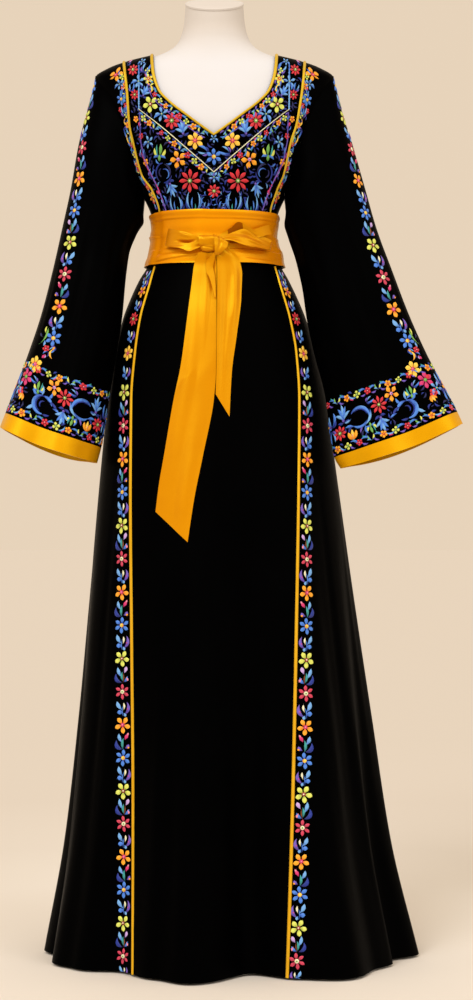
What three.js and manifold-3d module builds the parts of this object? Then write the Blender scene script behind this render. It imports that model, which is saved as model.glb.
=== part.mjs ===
// A full-length jalabiya on a limbless dress form, in millimetres.
// +Z is up, the front faces -Y, and "left" is the -X side, as seen from the front.
// The origin is the centre of the stand's flat underside.
import * as THREE from "three";
import { mergeVertices } from "three/addons/utils/BufferGeometryUtils.js";
import Module from "manifold-3d";

const wasm = await Module();
wasm.setup();

// ---------------------------------------------------------------- driving sizes
const clothWall = 1.6;
const satinWall = 2.0;
const seamGap = 0.3;
const clothOffForm = 2.1; // room between the form and the inside of the bodice
const trimLift = 0.9; // room between a panel and the trim sewn on it
const waistHeight = 1129;
const hemHeight = 4;
const sash = { bottom: 1088, top: 1170, room: 1 };
const armhole = { centre: 1294, half: 94, cut: 0.1 };
const neckSideHeight = 1419.5;
const backNeckHeight = 1415;
const pipingWidth = 5;
const pipingHeight = 1.8;
const bindingWidth = 5.5;
const bindingHeight = 1.4;
const cuffShare = 0.955; // where along a sleeve the satin cuff begins
const sleeveHeadRoom = 0.9; // from the armhole's edge out to the sleeve sewn into it
const cuffSag = 7; // how far the middle of the cuff hangs below its corners
const armholeBlend = 0.2; // the share of a sleeve over which its oval takes the armhole's shape
const armholeSteps = 9; // steps from the shoulder tip down to the underarm
const shoulderSeam = 142; // from the middle to the princess seam at the shoulder
const stand = { baseRadius: 148, baseHeight: 9, bossRadius: 24, bossHeight: 42, poleRadius: 15 };
const knot = { angle: -5, z: 1112, lift: 10, width: 29, depth: 19, height: 28 };

const neckTilt = Math.tan(THREE.MathUtils.degToRad(20));
const bust = { side: 72, height: 1285, spread: 38, depth: 9 };

// ---------------------------------------------------------------- tables
// Each row becomes an object with the named columns.
function table(columns, rows) {
  return rows.map((row) => Object.fromEntries(columns.map((name, i) => [name, row[i]])));
}

// The dress form: half-width and the reach to the front and the back at each height.
const formRows = table(["z", "side", "front", "back"], [
  [800, 122, 80, 92],
  [815, 136, 92, 104],
  [900, 147, 99, 112],
  [975, 143, 98, 106],
  [1038, 127, 92, 95],
  [1092, 99.5, 83, 80],
  [1129, 92.6, 78, 71],
  [1168, 95.6, 81, 71],
  [1200, 108, 88, 75],
  [1250, 135, 99, 83],
  [1300, 153, 105, 88],
  [1350, 172, 95, 90],
  [1385, 187, 81, 82],
  [1399, 167, 74, 77],
  [1407.5, 143.5, 70, 73],
  [1419.5, 95.6, 64, 65],
  [1433, 67, 59, 55],
  [1446, 56, 56, 49],
  [1472, 48, 55, 42],
  [1500, 45.5, 57, 36],
]);

// The skirt's outside, without its folds.
const skirtRows = table(["z", "left", "right", "front", "back"], [
  [4, 256, 300, 201, 218],
  [185, 228, 262, 190, 204],
  [374, 211, 239, 176, 187],
  [564, 197, 216, 160, 168],
  [754, 181, 191, 142, 148],
  [880, 168, 172, 127, 133],
  [960, 155, 157, 117, 122],
  [1006, 145, 145, 110, 114],
  [1038, 133, 132, 103, 105],
  [1070, 118, 116.5, 95, 93],
  [1092, 104.5, 104.5, 88.5, 84.5],
  [1129, 96.1, 96.1, 81.6, 74.6],
]);

// The skirt's folds: angle round the ring from the front towards the right, half the fold's width in
// degrees, its depth at the hem (outwards is positive) and the height where it fades out.
const skirtFolds = table(["angle", "spread", "depth", "top"], [
  [-8, 13, 25, 800],
  [-38, 18, -30, 760],
  [-70, 12, 9, 860],
  [-86, 9, -12, 640],
  [-101, 13, 21, 780],
  [-121, 13, -17, 700],
  [-142, 15, 20, 800],
  [-165, 14, -22, 690],
  [-187, 15, 24, 820],
  [-209, 14, -20, 720],
  [-231, 14, 22, 790],
  [-251, 12, -16, 660],
  [-268, 12, 24, 800],
  [76, 10, -17, 680],
  [39, 18, 36, 860],
  [12, 13, -46, 740],
]);

// The yellow-piped princess seam on the front: its distance from the middle on each side.
const seamRows = table(["z", "left", "right"], [
  [4, 122, 111],
  [266, 122.5, 119.5],
  [508, 125.3, 125.2],
  [752, 127.9, 130],
  [876, 127.5, 131.5],
  [950, 122, 127],
  [1005, 114, 117],
  [1063, 98.4, 100.6],
  [1129, 84, 85.5],
  [1171, 84.5, 86.7],
  [1207, 96.5, 97.5],
  [1230, 112, 107.5],
  [1280, 125.5, 119],
  [1305, 131, 127.3],
  [1359, 135.4, 136.6],
  [1407.5, 142, 142],
]);

// Half the width of the V neck opening.
const neckRows = table(["z", "half"], [
  [1285, 0],
  [1310, 36],
  [1336, 68],
  [1356, 84],
  [1386, 92.5],
  [1419.5, 95.6],
]);

// Each sleeve: its outer and inner line in the front view, the middle of its depth and half its depth.
const sleeveColumns = ["along", "outX", "outZ", "inX", "inZ", "middle", "depth"];
const sleeveRows = {
  left: table(sleeveColumns, [
    [0, 190, 1391, 112.5, 1200, -3, 48],
    [0.06, 197, 1369, 109, 1183, -4, 50],
    [0.13, 204, 1330, 109.5, 1166, -6, 51],
    [0.24, 216, 1272, 123, 1139, -10, 51],
    [0.35, 226, 1212, 135, 1106, -14, 50],
    [0.47, 239, 1150, 142, 1066, -19, 50],
    [0.6, 254, 1080, 147, 1010, -26, 52],
    [0.73, 271, 1012, 155, 948, -32, 55],
    [0.85, 291, 950, 165, 890, -38, 58],
    [0.955, 326, 857, 176.5, 803, -45, 62],
    [1, 334, 836, 182.5, 780, -47, 63],
  ]),
  right: table(sleeveColumns, [
    [0, 190, 1391, 112.5, 1200, -3, 48],
    [0.06, 196, 1367, 109, 1183, -4, 50],
    [0.13, 202, 1322, 108.5, 1164, -7, 50],
    [0.24, 217, 1270, 117, 1132, -12, 49],
    [0.35, 234, 1212, 129, 1096, -18, 48],
    [0.47, 254, 1150, 138.5, 1050, -25, 46],
    [0.6, 279, 1080, 145, 1003, -33, 44],
    [0.73, 304, 1012, 159, 948, -42, 42],
    [0.85, 331, 950, 176, 890, -50, 40],
    [0.955, 378, 859, 190.5, 790.5, -61, 38],
    [1, 386, 841.5, 199.3, 775, -63, 37],
  ]),
};

// A sleeve's long folds: the angle round it (0 outside, 90 front), half the width and the cuff's depth.
const sleeveFolds = table(["angle", "spread", "depth"], [
  [38, 26, 5],
  [76, 24, -6],
  [112, 26, 5],
  [215, 30, -6],
  [262, 28, 5],
  [310, 30, -5],
]);

// The sash's wrapped folds: height in the middle, rise towards the right side, width and depth.
const sashFolds = table(["z", "rise", "width", "depth"], [
  [1164, -2, 9, 1.8],
  [1143, 10, 12, 1.6],
  [1122, -14, 13, 2.0],
  [1100, 6, 12, 1.8],
]);

// The bow: each loop runs from the knot along its front layer, turns back and ends at the knot.
// Lift is measured from the sash, and half is half the band's height.
const bandColumns = ["angle", "lift", "z", "half"];
const loopRows = {
  left: table(bandColumns, [
    [-15, 11, 1112, 8],
    [-24, 16, 1115, 13],
    [-37, 16, 1119, 18],
    [-46, 10, 1120, 19],
    [-46, 5, 1120, 19],
    [-37, 1.8, 1118, 17],
    [-24, 2.4, 1114, 11],
    [-15.5, 5, 1112, 8],
  ]),
  right: table(bandColumns, [
    [5.5, 11, 1112, 7],
    [16, 16, 1117, 12],
    [30, 16, 1119, 14],
    [48, 11, 1115, 10],
    [58, 6, 1114, 8],
    [48, 2.6, 1120, 12],
    [28, 2.8, 1129, 18],
    [15, 3, 1122, 14],
    [6, 5, 1113, 8],
  ]),
};
const strapTipRows = table(bandColumns, [
  [42, 2.6, 1139, 3.5],
  [50, 2.4, 1141.5, 4.5],
  [59, 2.2, 1144, 5],
]);

// The sash's two tails, from the knot down, by their edges in the front view.
const tailColumns = ["leftX", "leftZ", "rightX", "rightZ", "lift"];
const tailRows = {
  left: table(tailColumns, [
    [-20, 1098.2, -4, 1097.5, 11.5],
    [-28, 1085, 1, 1083, 6.5],
    [-34, 1044, 0, 1044, 2.6],
    [-42, 990, 0, 985, 1.7],
    [-50, 929, 0, 922, 1.7],
    [-60, 875, 0, 873, 1.7],
    [-74, 792, -17, 790, 1.7],
    [-82, 745, -29, 725, 1.7],
    [-88, 704, -39, 658, 1.7],
  ]),
  right: table(tailColumns, [
    [-1, 1099.4, 5.5, 1104, 11.5],
    [4.5, 1085, 36, 1088, 7.5],
    [5, 1062, 43, 1064, 4],
    [5.5, 1030, 42, 1032, 2.6],
    [5, 980, 34, 975, 1.6],
    [4, 930, 27, 917, 1.6],
    [3.5, 883, 24, 849, 1.6],
  ]),
};

// ---------------------------------------------------------------- curves and vectors
const degrees = THREE.MathUtils.degToRad;
const point = (x, y, z) => new THREE.Vector3(x, y, z);
const moved = (start, direction, distance) => start.clone().addScaledVector(direction, distance);

// A smooth curve through one column of a table, read at any value of the key column, that never
// swings past its rows.
function curve(rows, key, column) {
  const xs = rows.map((row) => row[key]);
  const ys = rows.map((row) => row[column]);
  const last = xs.length - 1;
  const secant = (i) => (ys[i + 1] - ys[i]) / (xs[i + 1] - xs[i]);
  const slopes = xs.map((_, i) => {
    if (i === 0) return secant(0);
    if (i === last) return secant(last - 1);
    const before = secant(i - 1);
    const after = secant(i);
    return before * after <= 0 ? 0 : (2 * before * after) / (before + after);
  });
  return (x) => {
    if (x <= xs[0]) return ys[0];
    if (x >= xs[last]) return ys[last];
    let i = 0;
    while (x > xs[i + 1]) i += 1;
    const width = xs[i + 1] - xs[i];
    const t = (x - xs[i]) / width;
    const rise = 3 * t * t - 2 * t * t * t;
    const out = t * t * t - 2 * t * t + t;
    const into = t * t * t - t * t;
    return ys[i] + (ys[i + 1] - ys[i]) * rise + width * (slopes[i] * out + slopes[i + 1] * into);
  };
}

const curves = (rows, key, names) =>
  Object.fromEntries(names.map((name) => [name, curve(rows, key, name)]));

// A soft fold's share of its depth, from 1 at its middle to 0 at its edges.
const foldShare = (away, spread) =>
  Math.abs(away) < spread ? (1 + Math.cos((Math.PI * away) / spread)) / 2 : 0;

const turnedBy = (angle, from) => ((((angle - from) % 360) + 540) % 360) - 180;

// The angle in a range at which a rising quantity reaches a value.
function angleWhere(quantity, value, low, high) {
  for (let step = 0; step < 40; step += 1) {
    const middle = (low + high) / 2;
    if (quantity(middle) < value) low = middle;
    else high = middle;
  }
  return (low + high) / 2;
}

// ---------------------------------------------------------------- surfaces
// Angles round a ring are in degrees: 0 at the front, 90 on the right, 180 at the back.
const form = curves(formRows, "z", ["side", "front", "back"]);

function onForm(z, angle) {
  const sine = Math.sin(degrees(angle));
  const cosine = Math.cos(degrees(angle));
  const x = form.side(z) * sine;
  let y = cosine > 0 ? -form.front(z) * cosine : -form.back(z) * cosine;
  const rise = Math.exp(-(((z - bust.height) / bust.spread) ** 2) / 2);
  const across = Math.exp(-(((Math.abs(x) - bust.side) / bust.spread) ** 2) / 2);
  if (cosine > 0) y -= bust.depth * rise * across * cosine;
  const tilted = THREE.MathUtils.smoothstep(z, 1440, 1500) * neckTilt * (y + 10);
  return point(x, y, z + tilted);
}

// The outward direction of a surface given by two parameters.
function outward(surface, a, b, stepA, stepB) {
  const alongA = surface(a + stepA, b).sub(surface(a - stepA, b));
  const alongB = surface(a, b + stepB).sub(surface(a, b - stepB));
  return alongB.cross(alongA).normalize();
}

const bodiceNormal = (z, angle) => outward(onForm, z, angle, 0.5, 0.5);
const onBodice = (z, angle) => moved(onForm(z, angle), bodiceNormal(z, angle), clothOffForm + clothWall);

const skirt = curves(skirtRows, "z", ["left", "right", "front", "back"]);

function onSkirt(z, angle) {
  const sine = Math.sin(degrees(angle));
  const cosine = Math.cos(degrees(angle));
  const side = sine > 0 ? skirt.right(z) : skirt.left(z);
  const reach = cosine > 0 ? skirt.front(z) : skirt.back(z);
  const normal = point(sine / side, -cosine / reach, 0).normalize();
  const depth = skirtFolds.reduce((sum, fold) => {
    const fall = Math.max(0, (fold.top - z) / fold.top) ** 1.25;
    return sum + fold.depth * fall * foldShare(turnedBy(angle, fold.angle), fold.spread);
  }, 0);
  return moved(point(side * sine, -reach * cosine, z), normal, depth);
}
const skirtNormal = (z, angle) => outward(onSkirt, z, angle, 1, 0.4);

// The angle on the front half of a ring at which a surface lies x from the middle.
function frontAngle(surface, z, x) {
  const edge = 90 * Math.sign(x);
  if (Math.abs(x) >= Math.abs(surface(z, edge).x)) return edge;
  return angleWhere((angle) => surface(z, angle).x, x, -90, 90);
}

const seam = curves(seamRows, "z", ["left", "right"]);
const seamSide = { [-1]: seam.left, 1: seam.right };
const seamAngle = (surface, side, z) => frontAngle(surface, z, side * seamSide[side](z));
const neckHalf = curve(neckRows, "z", "half");

// Where the shoulder ridge is as far out as the princess seam: the seam's end at the shoulder.
const shoulderCorner = angleWhere((z) => -onBodice(z, 90).x, -shoulderSeam, 1392, neckSideHeight);

// The armhole's height at each angle round the sleeve: 0 at the shoulder tip, 180 under the arm.
const armholeHeight = (angle) => armhole.centre + armhole.half * Math.cos(degrees(angle));

// The ring angle of the bodice's outer edge on the right: the armhole, or the side seam and the
// shoulder ridge below and above it.
function bodiceEdgeAngle(z, onFront) {
  const cosine = (z - armhole.centre) / armhole.half;
  if (Math.abs(cosine) >= 1) return 90;
  const x = onBodice(z, 90).x * (1 - armhole.cut * Math.sqrt(1 - cosine * cosine));
  if (onFront) return frontAngle(onBodice, z, x);
  return angleWhere((angle) => -onBodice(z, angle).x, -x, 90, 180);
}

const sleeve = Object.fromEntries(
  Object.entries(sleeveRows).map(([name, rows]) => [name, curves(rows, "along", sleeveColumns.slice(1))]),
);

// A sleeve's middle and the arm of its oval that points outwards, at a share of its length.
function sleeveFrame(name, along) {
  const side = name === "left" ? -1 : 1;
  const lines = sleeve[name];
  const outer = point(side * lines.outX(along), lines.middle(along), lines.outZ(along));
  const inner = point(side * lines.inX(along), lines.middle(along), lines.inZ(along));
  return { centre: outer.clone().add(inner).multiplyScalar(0.5), arm: outer.sub(inner).multiplyScalar(0.5) };
}

// A sleeve's outside: along from 0 at the armhole to 1 at the cuff's edge; angle 0 is the outer line,
// 90 the front, 180 the inner line and 270 the back.
function onSleeve(name, along, angle) {
  const side = name === "left" ? -1 : 1;
  const sine = Math.sin(degrees(angle));
  const cosine = Math.cos(degrees(angle));
  const { centre, arm } = sleeveFrame(name, along);
  const step = 0.03;
  const before = sleeveFrame(name, Math.max(0, along - step)).centre;
  const axis = sleeveFrame(name, Math.min(1, along + step)).centre.sub(before).normalize();
  const front = arm.clone().cross(axis).normalize();
  if (front.y > 0) front.negate();
  const depth = sleeve[name].depth(along);
  const normal = arm.clone().multiplyScalar(cosine / arm.lengthSq()).addScaledVector(front, sine / depth);
  const folds = sleeveFolds.reduce(
    (sum, fold) => sum + fold.depth * foldShare(turnedBy(angle, fold.angle), fold.spread),
    0,
  );
  const oval = centre.clone().addScaledVector(arm, cosine).addScaledVector(front, depth * sine);
  oval.addScaledVector(normal.normalize(), folds * along ** 1.4);
  oval.z -= cuffSag * along * along * sine * sine;

  const share = 1 - THREE.MathUtils.smoothstep(along, 0, armholeBlend);
  if (share === 0) return oval;
  const z = armholeHeight(angle);
  const onFront = sine >= 0;
  const edge = onBodice(z, bodiceEdgeAngle(z, onFront));
  const root = point(side * (edge.x + sleeveHeadRoom), edge.y, edge.z);
  root.add(centre.clone().sub(sleeveFrame(name, 0).centre));
  return oval.lerp(root, share);
}

// ---------------------------------------------------------------- solids
// A geometry from points and triangles, turned so that its faces point out.
function closedGeometry(points, triangles) {
  const volume = triangles.reduce(
    (sum, [a, b, c]) => sum + points[a].dot(points[b].clone().cross(points[c])),
    0,
  );
  const facing = volume < 0 ? triangles.map(([a, b, c]) => [a, c, b]) : triangles;
  const geometry = new THREE.BufferGeometry().setFromPoints(points);
  geometry.setIndex(facing.flat());
  geometry.computeVertexNormals();
  return geometry;
}

// Two triangles that fill a four-sided face, split along its shorter diagonal.
function splitQuad(points, a, b, c, d) {
  const first = points[a].distanceTo(points[c]);
  const second = points[b].distanceTo(points[d]);
  return first < second ? [[a, b, c], [a, c, d]] : [[a, b, d], [b, c, d]];
}

// A wall between two grids of points, outer and inner, of the same rows and columns. A round wall's
// last column is joined to its first.
function wallBetween(outer, inner, round = false) {
  const rows = outer.length;
  const columns = outer[0].length;
  const points = [...outer.flat(), ...inner.flat()];
  const at = (layer, i, j) => layer * rows * columns + i * columns + (j % columns);
  const triangles = [];
  const quad = (...corners) => triangles.push(...splitQuad(points, ...corners));
  const lastColumn = round ? columns : columns - 1;
  for (let i = 0; i < rows - 1; i += 1) {
    for (let j = 0; j < lastColumn; j += 1) {
      quad(at(0, i, j), at(0, i, j + 1), at(0, i + 1, j + 1), at(0, i + 1, j));
      quad(at(1, i, j), at(1, i + 1, j), at(1, i + 1, j + 1), at(1, i, j + 1));
    }
    if (!round) {
      quad(at(0, i, 0), at(0, i + 1, 0), at(1, i + 1, 0), at(1, i, 0));
      quad(at(0, i, lastColumn), at(1, i, lastColumn), at(1, i + 1, lastColumn), at(0, i + 1, lastColumn));
    }
  }
  for (let j = 0; j < lastColumn; j += 1) {
    quad(at(0, 0, j), at(1, 0, j), at(1, 0, j + 1), at(0, 0, j + 1));
    quad(at(0, rows - 1, j), at(0, rows - 1, j + 1), at(1, rows - 1, j + 1), at(1, rows - 1, j));
  }
  return closedGeometry(points, triangles);
}

// A wall whose outer grid holds { at, out }: each point and its outward direction.
const wall = (grid, thickness, round = false) =>
  wallBetween(
    grid.map((row) => row.map((spot) => spot.at)),
    grid.map((row) => row.map((spot) => moved(spot.at, spot.out, -thickness))),
    round,
  );

// A solid through closed sections with the same number of points, with flat ends.
function throughSections(sections) {
  const points = sections.flat();
  const count = sections[0].length;
  const last = (sections.length - 1) * count;
  const triangles = [];
  for (let i = 0; i < sections.length - 1; i += 1) {
    for (let j = 0; j < count; j += 1) {
      const next = (j + 1) % count;
      const [a, b] = [i * count + j, i * count + next];
      triangles.push(...splitQuad(points, a, b, b + count, a + count));
    }
  }
  for (let j = 1; j < count - 1; j += 1) {
    triangles.push([0, j + 1, j], [last, last + j, last + j + 1]);
  }
  return closedGeometry(points, triangles);
}

// Two geometries that share a face, as one.
function joined(...geometries) {
  const [first, second] = geometries.map((geometry) => {
    const bare = geometry.clone();
    bare.deleteAttribute("normal");
    const merged = mergeVertices(bare, 1e-3);
    const vertProperties = merged.getAttribute("position").array;
    return new wasm.Manifold(
      new wasm.Mesh({ numProp: 3, vertProperties, triVerts: new Uint32Array(merged.index.array) }),
    );
  });
  const mesh = first.add(second).getMesh();
  const geometry = new THREE.BufferGeometry();
  geometry.setAttribute("position", new THREE.BufferAttribute(mesh.vertProperties, 3));
  geometry.setIndex(new THREE.BufferAttribute(mesh.triVerts, 1));
  geometry.computeVertexNormals();
  return geometry;
}

// ---------------------------------------------------------------- panels
const steps = (count) => Array.from({ length: count + 1 }, (_, i) => i / count);
const between = THREE.MathUtils.lerp;
const reversed = (grid) => grid.map((row) => [...row].reverse());

// Half the seam's gap as an angle round a ring.
function gapAngle(surface, z, angle) {
  const length = surface(z, angle + 0.5).distanceTo(surface(z, angle - 0.5));
  return seamGap / 2 / length;
}

const armholeHeights = steps(armholeSteps).map((share) => armholeHeight(180 - 180 * share));
const bodiceHeights = [
  waistHeight + seamGap / 2,
  1148,
  sash.top + 2,
  1186,
  ...armholeHeights,
  1394,
  1401,
  shoulderCorner - 0.4,
  shoulderCorner,
  1414.5,
  neckSideHeight,
];
const shoulderRow = bodiceHeights.indexOf(shoulderCorner) - 1;
const neckTip = neckRows[0].z;
const neckTipRow = bodiceHeights.findLastIndex((z) => z < neckTip);
const frontTop = neckSideHeight - 0.5;
const frontColumns = 6;
const skirtHeights = [hemHeight, 130, 270, 420, 570, 700, 810, 900, 960, 1006, 1045];
skirtHeights.push(sash.bottom - 2, 1107, waistHeight - seamGap / 2);

const spotOn = (surface, normal) => (z, angle) => ({ at: surface(z, angle), out: normal(z, angle) });
const bodiceSpot = spotOn(onBodice, bodiceNormal);
const skirtSpot = spotOn(onSkirt, skirtNormal);

// One half of the front centre, from the middle or the V neckline out to the princess seam. Its
// heights are the bodice's, apart from the neckline's tip, which lies a little above its row.
function bodiceFrontHalf(side) {
  return bodiceHeights.map((height, i) =>
    steps(frontColumns).map((share) => {
      const z = i === neckTipRow ? between(neckTip, height, share) : Math.min(height, frontTop);
      const inner = side * Math.abs(frontAngle(onBodice, z, neckHalf(z)));
      const edge = seamAngle(onBodice, side, z);
      const outer = edge - side * gapAngle(onBodice, z, edge);
      return bodiceSpot(z, between(inner, outer, share));
    }),
  );
}

function bodiceSideFront(side) {
  return bodiceHeights.slice(0, shoulderRow + 1).map((z) => {
    const inner = seamAngle(onBodice, side, z);
    const outer = side * bodiceEdgeAngle(z, true);
    const start = inner + side * gapAngle(onBodice, z, inner);
    const end = outer - side * gapAngle(onBodice, z, outer);
    return steps(4).map((share) => bodiceSpot(z, between(start, end, share)));
  });
}

function bodiceBack(side) {
  return bodiceHeights.map((height) =>
    steps(6).map((share) => {
      const drop = (neckSideHeight - backNeckHeight) * Math.sin((share * Math.PI) / 2);
      const z = height - drop * THREE.MathUtils.smoothstep(height, shoulderCorner, neckSideHeight);
      const outer = bodiceEdgeAngle(z, false);
      const start = outer + gapAngle(onBodice, z, outer);
      const end = 180 - gapAngle(onBodice, z, 180);
      return bodiceSpot(z, side * between(start, end, share));
    }),
  );
}

function skirtPanel(startAngle, endAngle, count) {
  return skirtHeights.map((z) => {
    const [from, to] = [startAngle(z), endAngle(z)];
    const start = from + gapAngle(onSkirt, z, from);
    const end = to - gapAngle(onSkirt, z, to);
    return steps(count).map((share) => skirtSpot(z, between(start, end, share)));
  });
}

// A sleeve's outward direction. At the armhole its head leans the way the shoulder does.
function sleeveNormal(name, along, angle) {
  const side = name === "left" ? -1 : 1;
  const inside = Math.min(Math.max(along, 0.012), 0.99);
  const out = outward((a, b) => onSleeve(name, a, b), inside, angle, 0.01, 2).multiplyScalar(side);
  if (along > 0) return out;
  const z = armholeHeight(angle);
  const shoulder = bodiceNormal(z, bodiceEdgeAngle(z, Math.sin(degrees(angle)) >= 0));
  shoulder.x *= side;
  return out.lerp(shoulder, Math.max(0, Math.cos(degrees(angle)))).normalize();
}

function sleeveWall(name, alongs, thickness) {
  const columns = steps(2 * armholeSteps).slice(0, -1).map((share) => 360 * share);
  const grid = alongs.map((along) =>
    columns.map((angle) => ({ at: onSleeve(name, along, angle), out: sleeveNormal(name, along, angle) })),
  );
  return wall(grid, thickness, true);
}

// ---------------------------------------------------------------- trim, sash and bow
// A rounded strip over points that each have a left foot, a right foot and an outward direction.
function strip(spots, height) {
  return throughSections(
    spots.map(({ left, right, out }) => {
      const [a, b] = [moved(left, out, trimLift), moved(right, out, trimLift)];
      const crown = (share, rise) => moved(a.clone().lerp(b, share), out, rise);
      return [a, b, crown(0.85, 0.7 * height), crown(0.5, height), crown(0.15, 0.7 * height)];
    }),
  );
}

// The piping over the seam between the last column of one panel and the first of the next.
function piping(leftPanel, rightPanel, firstRow, lastRow) {
  const towards = (from, to) => moved(from, to.clone().sub(from).normalize(), pipingWidth / 2);
  const spots = [];
  for (let i = firstRow; i <= lastRow; i += 1) {
    const [before, end] = leftPanel[i].slice(-2);
    const [start, after] = rightPanel[i];
    const out = end.out.clone().add(start.out).normalize();
    spots.push({ left: towards(end.at, before.at), right: towards(start.at, after.at), out });
  }
  return strip(spots, pipingHeight);
}

// The binding along the V neckline, from the left shoulder down to the tip and up to the right one.
function neckBinding() {
  const edgeOf = (half) => half.slice(neckTipRow).map((row) => row[0]);
  const edge = [...edgeOf(bodiceHalves.left).reverse(), ...edgeOf(bodiceHalves.right).slice(1)];
  const spots = edge.map((spot, j) => {
    const before = edge[Math.max(j - 1, 0)].at;
    const after = edge[Math.min(j + 1, edge.length - 1)].at;
    const away = after.clone().sub(before).cross(spot.out).normalize();
    return { left: spot.at, right: moved(spot.at, away, bindingWidth), out: spot.out };
  });
  return strip(spots, bindingHeight);
}

const onGarment = (z, angle) => (z > waistHeight ? onBodice(z, angle) : onSkirt(z, angle));
const garmentNormal = (z, angle) => (z > waistHeight ? bodiceNormal(z, angle) : skirtNormal(z, angle));

function sashThickness(z, angle) {
  const middle = (fold) => fold.z + fold.rise * Math.sin(degrees(angle));
  return sashFolds.reduce((sum, fold) => sum + fold.depth * foldShare(z - middle(fold), fold.width), satinWall);
}

function sashBand() {
  const heights = steps(4).map((share) => between(sash.bottom, sash.top, share));
  const angles = steps(32).slice(0, -1).map((share) => 360 * share);
  const layer = (lift) =>
    heights.map((z) =>
      angles.map((angle) => moved(onGarment(z, angle), garmentNormal(z, angle), lift(z, angle))),
    );
  return wallBetween(
    layer((z, angle) => sash.room + sashThickness(z, angle)),
    layer(() => sash.room),
    true,
  );
}

// A point over the sash, at a lift from its outside.
const overSash = (z, angle, lift) => {
  const outside = sash.room + sashThickness(z, angle);
  return moved(onGarment(z, angle), garmentNormal(waistHeight - 2, angle), outside + lift);
};

// A band of satin along rows of { angle, lift, z, half }: folded back on itself it is a bow's loop.
function satinBand(rows, count) {
  const keyed = rows.map((row, i) => ({ ...row, place: i / (rows.length - 1) }));
  const lines = curves(keyed, "place", ["angle", "lift", "z", "half"]);
  const middles = steps(count).map((place) => {
    const height = lines.z(place);
    return { place, height, at: overSash(height, lines.angle(place), lines.lift(place)) };
  });
  const grid = middles.map(({ place, height }, i) => {
    const before = middles[Math.max(i - 1, 0)].at;
    const after = middles[Math.min(i + 1, middles.length - 1)].at;
    const out = point(0, 0, 1).cross(after.clone().sub(before)).normalize();
    return steps(2).map((share) => {
      const z = height + lines.half(place) * (2 * share - 1);
      return { at: overSash(z, lines.angle(place), lines.lift(place)), out };
    });
  });
  return wall(grid, satinWall * 0.75);
}

// A tail of the sash, which hangs over the skirt between its left and right edges.
function tail(rows) {
  const keyed = rows.map((row, i) => ({ ...row, place: i / (rows.length - 1) }));
  const lines = curves(keyed, "place", ["leftX", "leftZ", "rightX", "rightZ", "lift"]);
  const grid = steps(10).map((place) =>
    steps(3).map((share) => {
      const x = between(lines.leftX(place), lines.rightX(place), share);
      const z = between(lines.leftZ(place), lines.rightZ(place), share);
      const angle = frontAngle(onSkirt, z, x);
      const out = skirtNormal(z, angle);
      const wave = 1.5 * Math.sin(2 * Math.PI * share) * Math.min(1, 2 * place);
      return { at: moved(onSkirt(z, angle), out, lines.lift(place) + satinWall + wave), out };
    }),
  );
  return wall(grid, satinWall * 0.75);
}

// ---------------------------------------------------------------- form and stand
const formHeights = [800, 815, ...skirtHeights.filter((z) => z > 815), ...bodiceHeights.slice(1)];
formHeights.push(1428, 1437, 1448, 1462, 1480, 1500);

function formBody() {
  const angles = steps(32).slice(0, -1).map((share) => 360 * share);
  return throughSections(formHeights.map((z) => angles.map((angle) => onForm(z, angle))));
}

function neckCap() {
  const angles = steps(36).slice(0, -1).map((share) => 360 * share);
  const rim = angles.map((angle) => onForm(1500, angle));
  const middle = rim.reduce((sum, spot) => sum.add(spot), point(0, 0, 0)).divideScalar(rim.length);
  const up = point(0, -neckTilt, 1).normalize();
  const layer = (scale, rise) => rim.map((spot) => moved(middle.clone().lerp(spot, scale), up, rise));
  return throughSections([layer(1.02, seamGap), layer(1.02, 3), layer(0.97, 4.5), layer(0.6, 5.2)]);
}

function standBase() {
  const { baseRadius, baseHeight, bossRadius, bossHeight } = stand;
  const profile = [
    [0, 0],
    [baseRadius, 0],
    [baseRadius, baseHeight - 3],
    [baseRadius - 4, baseHeight],
    [bossRadius + 6, baseHeight + 2],
    [bossRadius, baseHeight + 8],
    [bossRadius, bossHeight - 2],
    [bossRadius - 2, bossHeight],
    [0, bossHeight],
  ].map(([radius, height]) => new THREE.Vector2(radius, height));
  return new THREE.LatheGeometry(profile, 40).rotateX(Math.PI / 2);
}

function standPole() {
  const [bottom, top] = [stand.bossHeight + seamGap, formHeights[0] - seamGap];
  const pole = new THREE.CylinderGeometry(stand.poleRadius, stand.poleRadius, top - bottom, 24);
  return pole.rotateX(Math.PI / 2).translate(0, 0, (top + bottom) / 2);
}

function sashKnot() {
  const middle = overSash(knot.z, knot.angle, knot.lift);
  const ball = new THREE.SphereGeometry(0.5, 12, 8).rotateX(Math.PI / 2);
  return ball.scale(knot.width, knot.depth, knot.height).translate(middle.x, middle.y, middle.z);
}

// ---------------------------------------------------------------- the object
const cloth = { color: 0x0a090b, roughness: 0.9, metalness: 0 };
const satin = { color: 0xf2a50c, roughness: 0.4, metalness: 0 };
const cover = { color: 0xefe4d6, roughness: 0.85, metalness: 0 };
const metal = { color: 0x9a9a98, roughness: 0.35, metalness: 0.9 };

const jalabiya = new THREE.Group();
function add(name, geometry, look) {
  const mesh = new THREE.Mesh(geometry, new THREE.MeshStandardMaterial(look));
  mesh.name = name;
  jalabiya.add(mesh);
}

add("stand_base", standBase(), metal);
add("stand_pole", standPole(), metal);
add("form_body", formBody(), cover);
add("form_neck_cap", neckCap(), cover);

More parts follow.
